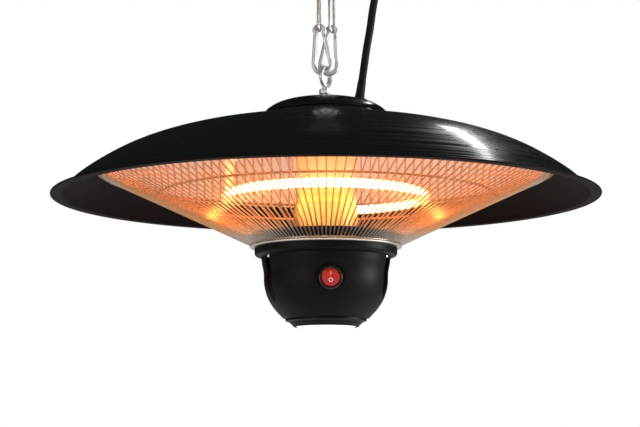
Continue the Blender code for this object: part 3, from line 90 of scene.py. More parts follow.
def smoothLine(points, steps):
    # an even curve through all the points
    ends = [tuple(2 * a - b for a, b in zip(points[0], points[1]))]
    ends += [tuple(p) for p in points]
    ends += [tuple(2 * a - b for a, b in zip(points[-1], points[-2]))]
    curve = []
    for i in range(1, len(ends) - 2):
        p0, p1, p2, p3 = ends[i - 1:i + 3]
        for step in range(steps):
            t = step / steps
            curve.append(tuple(0.5 * (2 * b + (c - a) * t + (2 * a - 5 * b + 4 * c - d) * t * t
                                      + (3 * b - a - 3 * c + d) * t * t * t)
                               for a, b, c, d in zip(p0, p1, p2, p3)))
    curve.append(ends[-2])
    return curve

def evenSteps(points, spacing):
    lengths = [0.0]
    for a, b in zip(points, points[1:]):
        lengths.append(lengths[-1] + math.dist(a, b))
    count = max(2, round(lengths[-1] / spacing))
    result = []
    j = 0
    for i in range(count + 1):
        target = lengths[-1] * i / count
        while j < len(points) - 2 and lengths[j + 1] < target:
            j += 1
        t = (target - lengths[j]) / (lengths[j + 1] - lengths[j])
        result.append(tuple(a + (b - a) * t for a, b in zip(points[j], points[j + 1])))
    return result

def wallInside(line, thickness):
    # the line shifted to its right, with r to the right and z up
    shifted = []
    for i, point in enumerate(line):
        before = line[max(i - 1, 0)]
        after = line[min(i + 1, len(line) - 1)]
        along = Vector((after[0] - before[0], after[1] - before[1])).normalized()
        shifted.append((point[0] + along.y * thickness, point[1] - along.x * thickness))
    return shifted

def boxCorners(left, low, right, high):
    return [(left, low), (right, low), (right, high), (left, high)]

def roundedOutline(corners, radius, steps=4):
    # a closed outline whose corners are rounded
    outline = []
    count = len(corners)
    for i, corner in enumerate(corners):
        here = Vector(corner)
        before = Vector(corners[i - 1])
        after = Vector(corners[(i + 1) % count])
        reach = min(radius, (before - here).length * 0.45, (after - here).length * 0.45)
        a = here + (before - here).normalized() * reach
        b = here + (after - here).normalized() * reach
        for k in range(steps + 1):
            t = k / steps
            p = a * (1 - t) ** 2 + here * 2 * t * (1 - t) + b * t * t
            outline.append((p.x, p.y))
    return outline


# small tools for meshes
def nothingSelected():
    if bpy.context.object and bpy.context.object.mode != "OBJECT":
        bpy.ops.object.mode_set(mode="OBJECT")
    bpy.ops.object.select_all(action="DESELECT")

def pickOnly(piece):
    nothingSelected()
    piece.select_set(True)
    bpy.context.view_layer.objects.active = piece

def smoothShading(piece, angle=35.0):
    pickOnly(piece)
    bpy.ops.object.shade_smooth_by_angle(angle=math.radians(angle))

def applyModifier(piece, kind, **settings):
    pickOnly(piece)
    modifier = piece.modifiers.new(kind.lower(), kind)
    for key, value in settings.items():
        setattr(modifier, key, value)
    bpy.ops.object.modifier_apply(modifier=modifier.name)

def softenEdges(piece, width, angle, segments=2, **settings):
    applyModifier(piece, "BEVEL", width=width, segments=segments, limit_method="ANGLE",
                  angle_limit=math.radians(angle), **settings)

def editAll(operation, **settings):
    # one mesh tool, used on the whole of the picked piece
    bpy.ops.object.mode_set(mode="EDIT")
    bpy.ops.mesh.select_all(action="SELECT")
    operation(**settings)
    bpy.ops.object.mode_set(mode="OBJECT")

def newObject(name, data):
    item = bpy.data.objects.new(name, data)
    bpy.context.collection.objects.link(item)
    return item

def placeMesh(piece, matrix):
    piece.data.transform(matrix)
    piece.data.update()

def spunPiece(name, outline, steps, place=rim, angle=35.0):
    # a closed outline of (radius, height) points spun right round the upright axis
    nothingSelected()
    bpy.ops.mesh.primitive_circle_add(vertices=len(outline), radius=0.01, location=(0, 0, 0))
    piece = bpy.context.object
    piece.name = name
    piece.data.name = name
    for vertex, (r, z) in zip(piece.data.vertices, outline):
        vertex.co = (r, 0.0, z)
    bpy.ops.object.mode_set(mode="EDIT")
    bpy.ops.mesh.select_all(action="SELECT")
    bpy.ops.mesh.spin(steps=steps, angle=2 * math.pi, center=(0, 0, 0), axis=(0, 0, 1))
    bpy.ops.mesh.select_all(action="SELECT")
    bpy.ops.mesh.remove_doubles(threshold=0.000002)
    bpy.ops.mesh.delete_loose(use_verts=True, use_edges=True, use_faces=False)
    bpy.ops.mesh.select_all(action="SELECT")
    bpy.ops.mesh.normals_make_consistent(inside=False)
    bpy.ops.object.mode_set(mode="OBJECT")
    placeMesh(piece, place)
    smoothShading(piece, angle)
    return piece

def barPiece(name, points, radius, place=rim, cyclic=False, roundness=5, radii=None):
    # a round bar along a path, drawn as a bevelled curve and made a mesh
    nothingSelected()
    line = bpy.data.curves.new(name, "CURVE")
    line.dimensions = "3D"
    line.bevel_depth = radius
    line.bevel_resolution = roundness
    line.use_fill_caps = True
    spline = line.splines.new("POLY")
    spline.points.add(len(points) - 1)
    for i, point in enumerate(points):
        spline.points[i].co = (*point, 1.0)
        if radii:
            spline.points[i].radius = radii[i]
    spline.use_cyclic_u = cyclic
    spline.use_smooth = True
    piece = newObject(name, line)
    pickOnly(piece)
    bpy.ops.object.convert(target="MESH")
    piece = bpy.context.object
    piece.name = name
    placeMesh(piece, place)
    smoothShading(piece, 50.0)
    return piece

def boxPiece(name, size, centre, bevel=0.0004, place=rim, segments=2):
    nothingSelected()
    bpy.ops.mesh.primitive_cube_add(size=1.0, location=(0, 0, 0))
    piece = bpy.context.object
    piece.name = name
    placeMesh(piece, Matrix.Translation(centre) @ Matrix.Diagonal((*size, 1.0)))
    if bevel:
        editAll(bpy.ops.mesh.bevel, offset=bevel, segments=segments, profile=0.6, affect="EDGES")
    placeMesh(piece, place)
    smoothShading(piece, 40.0)
    return piece

def rodPiece(name, radius, low, high, place=rim, sides=32):
    nothingSelected()
    bpy.ops.mesh.primitive_cylinder_add(vertices=sides, radius=radius, depth=high - low, location=(0, 0, 0))
    piece = bpy.context.object
    piece.name = name
    placeMesh(piece, place @ Matrix.Translation((0, 0, (low + high) / 2)) @ Matrix.Rotation(0.05, 4, "Z"))
    return piece

def cutAway(piece, cutter, operation="DIFFERENCE"):
    applyModifier(piece, "BOOLEAN", object=cutter, operation=operation, solver="EXACT")
    bpy.data.objects.remove(cutter, do_unlink=True)

def joinPieces(name, pieces):
    nothingSelected()
    for piece in pieces:
        piece.select_set(True)
    bpy.context.view_layer.objects.active = pieces[0]
    bpy.ops.object.join()
    joined = bpy.context.object
    joined.name = name
    return joined

def setMaterial(piece, material):
    piece.data.materials.clear()
    piece.data.materials.append(material)

slots = {"shade": "shade_black", "gland": "black_plastic", "housing": "black_plastic",
         "switch": "black_plastic",
         "rubber": "black_rubber", "zinc": "zinc_steel", "chain": "zinc_steel", "plate": "zinc_steel",
         "reflector": "reflector_aluminium", "column": "reflector_aluminium", "sleeve": "reflector_aluminium",
         "pan": "pan_black", "lamp": "lamp_quartz", "ceramic": "holder_ceramic", "guard": "guard_steel",
         "trim": "trim_silver", "screw": "trim_silver", "rocker": "rocker_red", "mark": "board_white",
         "lens": "lens_opal", "pin": "pin_nickel", "strap": "tie_strap"}

def finishPiece(piece, finish, body, *nodes, slot=None):
    # gives a piece its body, hides the model's nodes that it stands for and, where it has none yet, gives it
    # its finish
    if not piece.data.materials:
        setMaterial(piece, finishes[finish])
    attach(piece, body)
    if nodes:
        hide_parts(*nodes)
    slot = slot or slots[finish]
    return piece


# shared effects, as node groups
def newGroup(name, inputs, outputs):
    # every socket of these groups is a plain number
    group = bpy.data.node_groups.new(name, "ShaderNodeTree")
    for label, value in inputs.items():
        socket = group.interface.new_socket(name=label, in_out="INPUT", socket_type="NodeSocketFloat")
        socket.default_value = value
    for label in outputs:
        group.interface.new_socket(name=label, in_out="OUTPUT", socket_type="NodeSocketFloat")
    return group, group.nodes.new("NodeGroupInput"), group.nodes.new("NodeGroupOutput")

def mathNode(tree, operation, *values):
    node = tree.nodes.new("ShaderNodeMath")
    node.operation = operation
    for index, value in enumerate(values):
        if isinstance(value, (int, float)):
            node.inputs[index].default_value = value
        else:
            tree.links.new(value, node.inputs[index])
    return node.outputs[0]

def pointOf(tree, kind="Object"):
    return tree.nodes.new("ShaderNodeTexCoord").outputs[kind]

def pointParts(tree, kind="Object"):
    # x, y and z of the shaded point
    split = tree.nodes.new("ShaderNodeSeparateXYZ")
    tree.links.new(pointOf(tree, kind), split.inputs[0])
    return split.outputs

def axisDistance(tree, parts):
    squares = [mathNode(tree, "MULTIPLY", part, part) for part in parts[:2]]
    return mathNode(tree, "SQRT", mathNode(tree, "ADD", *squares))

def textureNode(tree, kind, point, **values):
    node = tree.nodes.new("ShaderNodeTex" + kind)
    for key, value in values.items():
        node.inputs[key].default_value = value
    tree.links.new(point, node.inputs["Vector"])
    return node

def rampNode(tree, source, stops):
    # a stop's colour is a triple, or one number for a grey
    node = tree.nodes.new("ShaderNodeValToRGB")
    ramp = node.color_ramp
    while len(ramp.elements) < len(stops):
        ramp.elements.new(0.5)
    for element, (place, colour) in zip(ramp.elements, stops):
        element.position = place
        element.color = (*colour, 1.0) if isinstance(colour, tuple) else (colour, colour, colour, 1.0)
    tree.links.new(source, node.inputs[0])
    return node.outputs[0]

def spunGrooves():
    # the fine rings that spinning leaves round the upright axis, ragged along their length
    group, start, end = newGroup("spunGrooves", {"Rings": 900.0, "Along": 3.0}, ["Height", "Mask"])
    x, y, z = pointParts(group)
    ringWay = mathNode(group, "SUBTRACT", axisDistance(group, (x, y)), z)
    angle = mathNode(group, "ARCTAN2", y, x)
    joined = group.nodes.new("ShaderNodeCombineXYZ")
    for index, (part, label) in enumerate(((ringWay, "Rings"), (angle, "Along"))):
        group.links.new(mathNode(group, "MULTIPLY", part, start.outputs[label]), joined.inputs[index])
    fine = textureNode(group, "Noise", joined.outputs[0], Scale=1.0, Detail=3.0, Roughness=0.6)
    group.links.new(fine.outputs["Fac"], end.inputs["Height"])
    group.links.new(mathNode(group, "POWER", fine.outputs["Fac"], 2.0), end.inputs["Mask"])
    return group

def fineGrain():
    # small even grain with a slow unevenness over it
    group, start, end = newGroup("fineGrain", {"Size": 900.0, "Slow": 20.0}, ["Grain", "Patches"])
    for size, detail, label in (("Size", 2.0, "Grain"), ("Slow", 4.0, "Patches")):
        noise = textureNode(group, "Noise", pointOf(group), Detail=detail)
        group.links.new(start.outputs[size], noise.inputs["Scale"])
        group.links.new(noise.outputs["Fac"], end.inputs[label])
    return group

def dustSpecks():
    # sparse specks of dust
    group, start, end = newGroup("dustSpecks", {"Size": 260.0, "Amount": 0.06}, ["Mask"])
    cells = textureNode(group, "Voronoi", pointOf(group), Randomness=1.0)
    group.links.new(start.outputs["Size"], cells.inputs["Scale"])
    near = mathNode(group, "LESS_THAN", cells.outputs["Distance"], start.outputs["Amount"])
    group.links.new(near, end.inputs["Mask"])
    return group

groups = {"grooves": spunGrooves(), "grain": fineGrain(), "dust": dustSpecks()}

def useGroup(tree, name, **values):
    node = tree.nodes.new("ShaderNodeGroup")
    node.node_tree = groups[name]
    for key, value in values.items():
        node.inputs[key].default_value = value
    return node.outputs

def startMaterial(name, colour, metallic=0.0, roughness=0.5, **sockets):
    material = bpy.data.materials.new(name)
    material.use_nodes = True
    tree = material.node_tree
    shader = tree.nodes["Principled BSDF"]
    shader.inputs["Base Color"].default_value = (*colour, 1.0)
    shader.inputs["Metallic"].default_value = metallic
    shader.inputs["Roughness"].default_value = roughness
    for key, value in sockets.items():
        shader.inputs[key.replace("_", " ")].default_value = value
    return material, tree, shader

def addBump(tree, shader, height, distance, strength=1.0):
    bump = tree.nodes.new("ShaderNodeBump")
    bump.inputs["Strength"].default_value = strength
    bump.inputs["Distance"].default_value = distance
    tree.links.new(height, bump.inputs["Height"])
    tree.links.new(bump.outputs["Normal"], shader.inputs["Normal"])

def colourMix(tree, factor, a, b, blend="MIX"):
    node = tree.nodes.new("ShaderNodeMix")
    node.data_type = "RGBA"
    node.blend_type = blend
    for index, value in ((6, a), (7, b)):
        if isinstance(value, tuple):
            node.inputs[index].default_value = (*value, 1.0)
        else:
            tree.links.new(value, node.inputs[index])
    if isinstance(factor, float):
        node.inputs[0].default_value = factor
    else:
        tree.links.new(factor, node.inputs[0])
    return node.outputs[2]

def rangeNode(tree, source, low, high, outLow=0.0, outHigh=1.0):
    node = tree.nodes.new("ShaderNodeMapRange")
    for key, value in (("From Min", low), ("From Max", high), ("To Min", outLow), ("To Max", outHigh)):
        node.inputs[key].default_value = value
    tree.links.new(source, node.inputs["Value"])
    return node.outputs[0]

def linkColour(tree, shader, factor, a, b, socket="Base Color"):
    tree.links.new(colourMix(tree, factor, a, b), shader.inputs[socket])

def linkRange(tree, shader, source, outLow, outHigh, low=0.3, high=0.7, socket="Roughness"):
    tree.links.new(rangeNode(tree, source, low, high, outLow, outHigh), shader.inputs[socket])


# finishes
def shadeEnamel():
    material, tree, shader = startMaterial("shadeEnamel", (0.004, 0.006, 0.006), 0.0, 0.2,
                                           Specular_IOR_Level=0.35, Coat_Roughness=0.08)
    rings, shine = useGroup(tree, "grooves", Rings=520.0, Along=1.2)
    patches = useGroup(tree, "grain", Size=700.0, Slow=9.0)[1]
    dust = useGroup(tree, "dust", Size=140.0, Amount=0.045)[0]
    paint = colourMix(tree, patches, (0.0042, 0.0050, 0.0048), (0.0060, 0.0080, 0.0080))
    linkColour(tree, shader, dust, paint, (0.05, 0.055, 0.055))
    linkRange(tree, shader, rings, 0.08, 0.34, 0.35, 0.65)
    linkRange(tree, shader, shine, 0.16, 0.06, 0.1, 0.5, "Coat Weight")
    addBump(tree, shader, rings, 0.00006, 0.8)
    return material

def shadeUnderside():
    material, tree, shader = startMaterial("shadeUnderside", (0.010, 0.006, 0.005), 0.0, 0.6,
                                           Specular_IOR_Level=0.03)
    rings = useGroup(tree, "grooves", Rings=700.0, Along=4.0)[0]
    grain, patches = useGroup(tree, "grain", Size=900.0, Slow=12.0)
    linkColour(tree, shader, patches, (0.0052, 0.0026, 0.0020), (0.0090, 0.0045, 0.0034))
    linkRange(tree, shader, grain, 0.45, 0.65)
    addBump(tree, shader, rings, 0.0001, 0.4)
    return material

def mouldedPlastic(name, dark, light, roughLow, roughHigh, bump=0.00006, grainSize=1400.0, specular=0.2):
    material, tree, shader = startMaterial(name, dark, 0.0, roughLow, Specular_IOR_Level=specular)
    grain, patches = useGroup(tree, "grain", Size=grainSize, Slow=25.0)
    dust = useGroup(tree, "dust", Size=330.0, Amount=0.05)[0]
    body = colourMix(tree, patches, dark, light)
    linkColour(tree, shader, dust, body, tuple(0.03 + 2 * part for part in light))
    linkRange(tree, shader, grain, roughLow, roughHigh)
    addBump(tree, shader, grain, bump, 0.7)
    return material

def plainMetal(name, clean, stained, roughLow, roughHigh, grainSize=500.0, bump=0.00003, slow=60.0,
               metallic=1.0):
    material, tree, shader = startMaterial(name, clean, metallic, roughLow)
    grain, patches = useGroup(tree, "grain", Size=grainSize, Slow=slow)
    linkColour(tree, shader, rangeNode(tree, patches, 0.42, 0.68), clean, stained)
    linkRange(tree, shader, grain, roughLow, roughHigh)
    addBump(tree, shader, grain, bump, 0.5)
    return material

def guardWire():
    # bright wire tinted bronze, still silvery at both ends
    material, tree, shader = startMaterial("guardWire", (0.42, 0.26, 0.18), 1.0, 0.3)
    grain, patches = useGroup(tree, "grain", Size=700.0, Slow=60.0)
    tint = rampNode(tree, rangeNode(tree, axisDistance(tree, pointParts(tree)), 0.08, 0.25),
                    [(0.0, 0.0), (0.08, 0.1), (0.22, 1.0), (0.80, 0.9), (0.93, 0.35), (1.0, 0.0)])
    bronze = colourMix(tree, patches, (0.68, 0.33, 0.14), (0.54, 0.25, 0.10))
    linkColour(tree, shader, tint, (0.40, 0.36, 0.32), bronze)
    linkRange(tree, shader, grain, 0.24, 0.36)
    addBump(tree, shader, grain, 0.00003, 0.5)
    return material

def reflectorSheet():
    # polished sheet with rows of small pressed dimples; its orange-pink tone and its orange glow are painted
    # lamp light
    material, tree, shader = startMaterial("reflectorSheet", (0.95, 0.55, 0.36), 0.80, 0.08,
                                           Emission_Strength=0.20)
    cells = textureNode(tree, "Voronoi", pointOf(tree), Scale=105.0, Randomness=0.15)
    grain, patches = useGroup(tree, "grain", Size=160.0, Slow=8.0)
    patches = rangeNode(tree, patches, 0.40, 0.62)
    # painted lamp light: the sheet's orange-pink base tone
    sheet = colourMix(tree, patches, (0.96, 0.46, 0.24), (0.82, 0.48, 0.33))
    dots = rangeNode(tree, cells.outputs["Distance"], 0.10, 0.22, 0.55, 1.0)
    tree.links.new(colourMix(tree, 1.0, sheet, dots, "MULTIPLY"), shader.inputs["Base Color"])
    # painted glow: an orange emission on a part that is no lamp
    linkColour(tree, shader, patches, (1.0, 0.28, 0.12), (0.85, 0.32, 0.20), "Emission Color")
    linkRange(tree, shader, grain, 0.04, 0.10)
    addBump(tree, shader, cells.outputs["Distance"], 0.0002, 0.08)
    return material

def columnSheet(name, dark, light, pale, paintedLitFrom=-0.378):
    # warm amber sheet, paler above a given height; the amber tone and the paler top are painted lamp light
    material, tree, shader = startMaterial(name, light, 0.88, 0.4)
    rings = useGroup(tree, "grooves", Rings=600.0, Along=12.0)[0]
    patches = useGroup(tree, "grain", Size=300.0, Slow=30.0)[1]
    z = pointParts(tree)[2]
    sheet = colourMix(tree, patches, dark, light)
    # painted lamp light: a paler colour above the given height
    linkColour(tree, shader, rangeNode(tree, z, paintedLitFrom, paintedLitFrom + 0.022), sheet, pale)
    linkRange(tree, shader, rings, 0.30, 0.50)
    addBump(tree, shader, rings, 0.00008, 0.5)
    return material

def lampGlow():
    # gold quartz round a glowing filament: whitest along the middle, dark where the ends rise
    material, tree, shader = startMaterial("lampGlow", (1.0, 0.85, 0.55), 0.0, 0.15, Emission_Strength=30.0)
    patches = useGroup(tree, "grain", Size=300.0, Slow=70.0)[1]
    facing = tree.nodes.new("ShaderNodeLayerWeight")
    facing.inputs["Blend"].default_value = 0.35
    edge = rangeNode(tree, facing.outputs["Facing"], 0.25, 0.60)
    hot = colourMix(tree, patches, (1.0, 0.50, 0.16), (1.0, 0.56, 0.22))
    glow = colourMix(tree, edge, hot, (0.05, 0.016, 0.004))
    z = pointParts(tree)[2]
    cold = rangeNode(tree, z, rimZ + 0.011, rimZ + 0.018)
    linkColour(tree, shader, cold, glow, (0.010, 0.0035, 0.002), "Emission Color")
    return material

def lensOpal():
    # opal plastic lit from behind, warmer towards its edge
    material, tree, shader = startMaterial("lensOpal", (0.96, 0.95, 0.92), 0.0, 0.3, Emission_Strength=0.9)
    grain = useGroup(tree, "grain", Size=900.0, Slow=30.0)[0]
    glow = rampNode(tree, rangeNode(tree, axisDistance(tree, pointParts(tree)), 0.026, 0.0335),
                    [(0.0, (1.0, 0.99, 0.96)), (0.55, (1.0, 0.96, 0.86)), (1.0, (0.75, 0.42, 0.15))])
    tree.links.new(glow, shader.inputs["Emission Color"])
    linkRange(tree, shader, grain, 0.22, 0.38)
    addBump(tree, shader, grain, 0.00003, 0.4)
    return material

def rubberSheath():
    material, tree, shader = startMaterial("rubberSheath", (0.006, 0.007, 0.008), 0.0, 0.42,
                                           Specular_IOR_Level=0.08)
    grain, patches = useGroup(tree, "grain", Size=900.0, Slow=45.0)
    dust = useGroup(tree, "dust", Size=520.0, Amount=0.07)[0]
    rubber = colourMix(tree, patches, (0.006, 0.007, 0.0075), (0.011, 0.012, 0.013))
    linkColour(tree, shader, dust, rubber, (0.05, 0.052, 0.055))
    linkRange(tree, shader, patches, 0.34, 0.52, 0.35, 0.65)
    addBump(tree, shader, grain, 0.00005, 0.5)
    return material

def strapWeave():
    material, tree, shader = startMaterial("strapWeave", (0.015, 0.015, 0.016), 0.0, 0.85, Sheen_Weight=0.4)
    weave = textureNode(tree, "Wave", pointOf(tree), Scale=190.0, Distortion=2.0, Detail=2.0)
    weave.bands_direction = "Z"
    linkColour(tree, shader, weave.outputs["Fac"], (0.008, 0.008, 0.009), (0.035, 0.035, 0.037))
    linkRange(tree, shader, weave.outputs["Fac"], 0.75, 0.95, 0.0, 1.0)
    addBump(tree, shader, weave.outputs["Fac"], 0.0002, 0.8)
    return material

def rockerRed():
    material, tree, shader = startMaterial("rockerRed", (0.42, 0.012, 0.012), 0.0, 0.28,
                                           Subsurface_Weight=0.15, Coat_Weight=0.3, Coat_Roughness=0.1,
                                           Subsurface_Radius=(0.004, 0.001, 0.001), Subsurface_Scale=0.6)
    grain, patches = useGroup(tree, "grain", Size=700.0, Slow=80.0)
    linkColour(tree, shader, patches, (0.34, 0.010, 0.010), (0.50, 0.018, 0.016))
    linkRange(tree, shader, grain, 0.22, 0.36)
    return material

def paleMaterial(name, dark, light, rough):
    material, tree, shader = startMaterial(name, light, 0.0, rough)
    grain, patches = useGroup(tree, "grain", Size=800.0, Slow=60.0)
    linkColour(tree, shader, patches, dark, light)
    linkRange(tree, shader, grain, rough - 0.08, rough + 0.1)
    addBump(tree, shader, grain, 0.00004, 0.5)
    return material

finishes = {
    "shade": shadeEnamel(), "under": shadeUnderside(), "reflector": reflectorSheet(), "guard": guardWire(),
    "lamp": lampGlow(), "lens": lensOpal(), "rubber": rubberSheath(), "strap": strapWeave(),
            "rocker": rockerRed(),
    # the column's and sleeve's amber tones and the column's pale top colour are painted lamp light
    "column": columnSheet("columnSheet", (0.50, 0.28, 0.08), (0.55, 0.36, 0.14), (0.80, 0.72, 0.50)),
    "sleeve": columnSheet("sleeveSheet", (0.38, 0.23, 0.09), (0.44, 0.30, 0.13), (0.55, 0.36, 0.14)),
    "housing": mouldedPlastic("housingPlastic", (0.0036, 0.0026, 0.0020), (0.0056, 0.0040, 0.0032), 0.40,
                              0.52,
                              specular=0.10),
    "switch": mouldedPlastic("switchPlastic", (0.006, 0.005, 0.005), (0.010, 0.009, 0.009), 0.20, 0.30,
                             0.00003,
                             specular=0.5),
    "gland": mouldedPlastic("glandPlastic", (0.006, 0.007, 0.008), (0.011, 0.012, 0.014), 0.35, 0.50),
    "pan": mouldedPlastic("panPaint", (0.007, 0.006, 0.005), (0.012, 0.010, 0.008), 0.50, 0.70, 0.00008,
                          900.0,
                          0.15),
    "zinc": plainMetal("zincPlate", (0.80, 0.82, 0.80), (0.68, 0.70, 0.67), 0.38, 0.52, 500.0, 0.000015,
                       metallic=0.8),
    "chain": plainMetal("chainZinc", (0.72, 0.70, 0.66), (0.50, 0.43, 0.34), 0.28, 0.42, 400.0, 0.00002,
                        90.0),
    "plate": plainMetal("ceilingZinc", (0.15, 0.155, 0.15), (0.11, 0.115, 0.11), 0.50, 0.64, metallic=0.4),
    "trim": plainMetal("trimSilver", (0.66, 0.65, 0.62), (0.58, 0.57, 0.54), 0.34, 0.44, 900.0),
    "screw": plainMetal("screwSteel", (0.82, 0.82, 0.80), (0.64, 0.63, 0.60), 0.22, 0.36),
    "pin": plainMetal("pinNickel", (0.78, 0.74, 0.66), (0.64, 0.60, 0.50), 0.16, 0.28),
    "ceramic": paleMaterial("holderCeramic", (0.68, 0.64, 0.57), (0.84, 0.82, 0.77), 0.5),
    "board": paleMaterial("boardLacquer", (0.70, 0.74, 0.72), (0.84, 0.86, 0.84), 0.4),
    "mark": paleMaterial("markPaint", (0.78, 0.76, 0.74), (0.88, 0.87, 0.86), 0.45),
}
print("finishes made,", len(finishes))


# hanging numbers that several pieces share, as heights over the rim plane
hang = {"saddle": 0.32495, "eye": 0.1376, "hookTop": 0.1970, "hookLength": 0.0582, "hookWidth": 0.0240,
        "hookWire": 0.005, "hookTopX": 0.0070, "hookBottomX": 0.0030, "hookStep": 0.00278}
gland = {"x": 0.0370, "y": 0.0060, "seat": 0.1100, "tilt": 8.5, "reliefLength": 0.0240, "reliefBase": 0.0055,
         "foot": 0.0011, "footEnd": -0.006, "bore": 0.0058, "thread": 0.0066, "nut": 0.0093, "steps": 64}
cable = {"radius": 0.00425, "length": 1.862, "coilX": 0.0475, "coilY": 0.0200, "coilHeight": 0.3080,
         "coilOuter": 0.0600, "pitch": 0.0092, "startAngle": -60.0, "turns": 5 + 160.0 / 360.0,
         "stepsATurn": 36,
         "plugX": -0.0450, "plugTop": 0.3220, "leadBend": 0.040, "spacing": 0.006,
         "rise": [(0.0456, 0.0072, 0.1688), (0.0500, 0.0088, 0.1945), (0.0537, 0.0108, 0.2200),
                  (0.0580, 0.0133, 0.2380)]}
gap = 0.0003


# mains cable: the hanging stretch, the tied coil above the view and the end with the plug, in one piece
def glandPlace():
    return moved(gland["x"], gland["y"], gland["seat"]) @ turned(gland["tilt"], "Y")

def headingAt(angle):
    turn = math.radians(angle + 90)
    return Vector((math.cos(turn), 0.0, math.sin(turn)))

firstHeading = headingAt(cable["startAngle"])
lastHeading = headingAt(cable["startAngle"] + 360 * cable["turns"])

def coilLine():
    # wound inwards on one side of the tie, then outwards on the other
    total = cable["turns"] * 2 * math.pi
    count = round(cable["turns"] * cable["stepsATurn"])
    points = []
    for i in range(count + 1):
        angle = total * i / count
        wound = min(angle, total - angle)
        radius = cable["coilOuter"] - cable["pitch"] * wound / (2 * math.pi)
        share = min(max((angle - total / 2) / math.pi + 0.5, 0.0), 1.0)
        turn = math.radians(cable["startAngle"]) + angle
        points.append(Vector((cable["coilX"] + radius * math.cos(turn),
                              cable["coilY"] + cable["pitch"] * (share * share * (3 - 2 * share) - 0.5),
                              cable["coilHeight"] + radius * math.sin(turn))))
    straight = 2 * cable["radius"]
    return [points[0] - firstHeading * straight] + points + [points[-1] + lastHeading * straight]

def evenCurve(route, steps):
    return evenSteps(smoothLine([tuple(p) for p in route], steps), cable["spacing"])

def cableLine():
    tip = glandPlace() @ Vector((0.0, 0.0, gland["reliefLength"] + gap))
    up = glandPlace().to_3x3() @ Vector((0.0, 0.0, 1.0))
    coil = coilLine()
    end = coil[0] - firstHeading * gap
    free = evenCurve([tip + up * 0.008] + cable["rise"] + [end - firstHeading * 0.004], 8)
    start = coil[-1]
    bend = cable["leadBend"]
    top = cable["plugTop"] + gap
    arc = arcPoints(cable["plugX"] + bend, top, bend, 98, 180, 6)
    lead = evenCurve([start + lastHeading * 0.006] + [(x, start.y, z + 0.004) for x, z in arc], 6)
    points = [tip] + free + coil + lead + [(cable["plugX"], start.y, top)]
    return [Vector(p) + Vector((0, 0, rimZ)) for p in points]

cableRoute = cableLine()
mainsCable = barPiece("mains_cable", cableRoute, cable["radius"], place=moved(), roundness=6)
setMaterial(mainsCable, finishes["rubber"])
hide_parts("power_cable", "cable_coil", "plug_lead")
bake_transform(mainsCable)
print("cable laid,", len(cableRoute), "points")


# shade: spun dome with a rolled lip, glossy outside and dull inside
shade = {"crown": [(0.062, 0.0950), (0.090, 0.0868), (0.126, 0.0780), (0.165, 0.0693), (0.198, 0.0593),
                   (0.225, 0.0480), (0.249, 0.0346), (0.271, 0.0195), (0.289, 0.0034)],
         "hole": 0.030, "wall": 0.0016, "lipInner": 0.289, "radius": 0.300, "lipThick": 0.0022, "steps": 192,
         "lipUnderTurn": 0.35, "crownUnderTurn": -0.05}

def makeShade():
    crown = smoothLine(shade["crown"], 6)
    outer = [(shade["hole"], crown[0][1])] + crown
    inner = wallInside(outer, shade["wall"])
    inner[0] = (shade["hole"], crown[0][1] - shade["wall"])
    inner[-1] = (shade["lipInner"] - 0.0018, 0.0010)
    roll = shade["lipThick"] / 2
    start = shade["lipInner"]
    lip = [(start + 0.0010, shade["lipThick"] + 0.0002), (start + 0.0035, shade["lipThick"] - 0.0004)]
    lip += arcPoints(shade["radius"] - roll, roll, roll, 100, -100, 10)
    lip += [(start + 0.0035, 0.0002), (start - 0.0002, 0.0)]
    piece = spunPiece("shade_shell", outer + lip + inner[::-1], shade["steps"])
    piece.data.materials.append(finishes["shade"])
    piece.data.materials.append(finishes["under"])
    # faces that look down enough take the dull finish, more of them out on the lip
    for face in piece.data.polygons:
        onLip = face.center.xy.length > shade["lipInner"]
        if face.normal.z < shade["lipUnderTurn" if onLip else "crownUnderTurn"]:
            face.material_index = 1
    finishPiece(piece, "shade", "heater", "shade")

makeShade()


# top cap: pressed dome over the connections
cap = {"line": [(0.0, 0.1125), (0.010, 0.11235), (0.020, 0.1118), (0.036, 0.1100), (0.048, 0.1075),
                (0.057, 0.1042), (0.0645, 0.0995), (0.0672, 0.0965), (0.068, 0.0941)],
       "wall": 0.0022, "steps": 128, "eyeHole": 0.0044, "glandHole": 0.0069}

def makeCap():
    outer = [cap["line"][0]] + smoothLine(cap["line"][1:], 5)
    inner = wallInside(outer, cap["wall"])
    inner[0] = (0.0, outer[0][1] - cap["wall"])
    inner[-1] = (outer[-1][0] - cap["wall"], outer[-1][1])
    piece = spunPiece("cap_dome", outer + inner[::-1], cap["steps"])
    cutAway(piece, rodPiece("hole", cap["eyeHole"], 0.09, 0.12))
    cutAway(piece, rodPiece("hole", cap["glandHole"], -0.02, 0.02, rim @ glandPlace()))
    smoothShading(piece, 30.0)
    finishPiece(piece, "shade", "heater", "top_cap")

makeCap()


# cable gland and its strain relief
def makeGland():
    place = rim @ glandPlace()
    foot = gland["foot"]
    body = [(gland["bore"], gland["footEnd"]), (gland["thread"], gland["footEnd"]), (gland["thread"], foot),
            (gland["nut"], foot), (gland["nut"], foot + 0.0014), (gland["nut"] - 0.0007, foot + 0.0028),
            (0.0070, 0.0042), (gland["bore"], 0.0042)]
    piece = spunPiece("gland_collar", roundedOutline(body, 0.0006, 3), gland["steps"], place=place)
    finishPiece(piece, "gland", "heater", "cable_gland")
    base = gland["reliefBase"]
    top = gland["reliefLength"]
    tip = cable["radius"] + 0.0004
    side = smoothLine([(base, 0.0057), (0.005, 0.011), (tip, top - 0.0006)], 8)
    line = [(0.0, -0.005), (base, -0.005)] + side + [(tip - 0.0004, top), (0.0, top)]
    relief = spunPiece("strain_relief_sleeve", line, gland["steps"], place=place)
    finishPiece(relief, "rubber", "heater", "strain_relief")

makeGland()


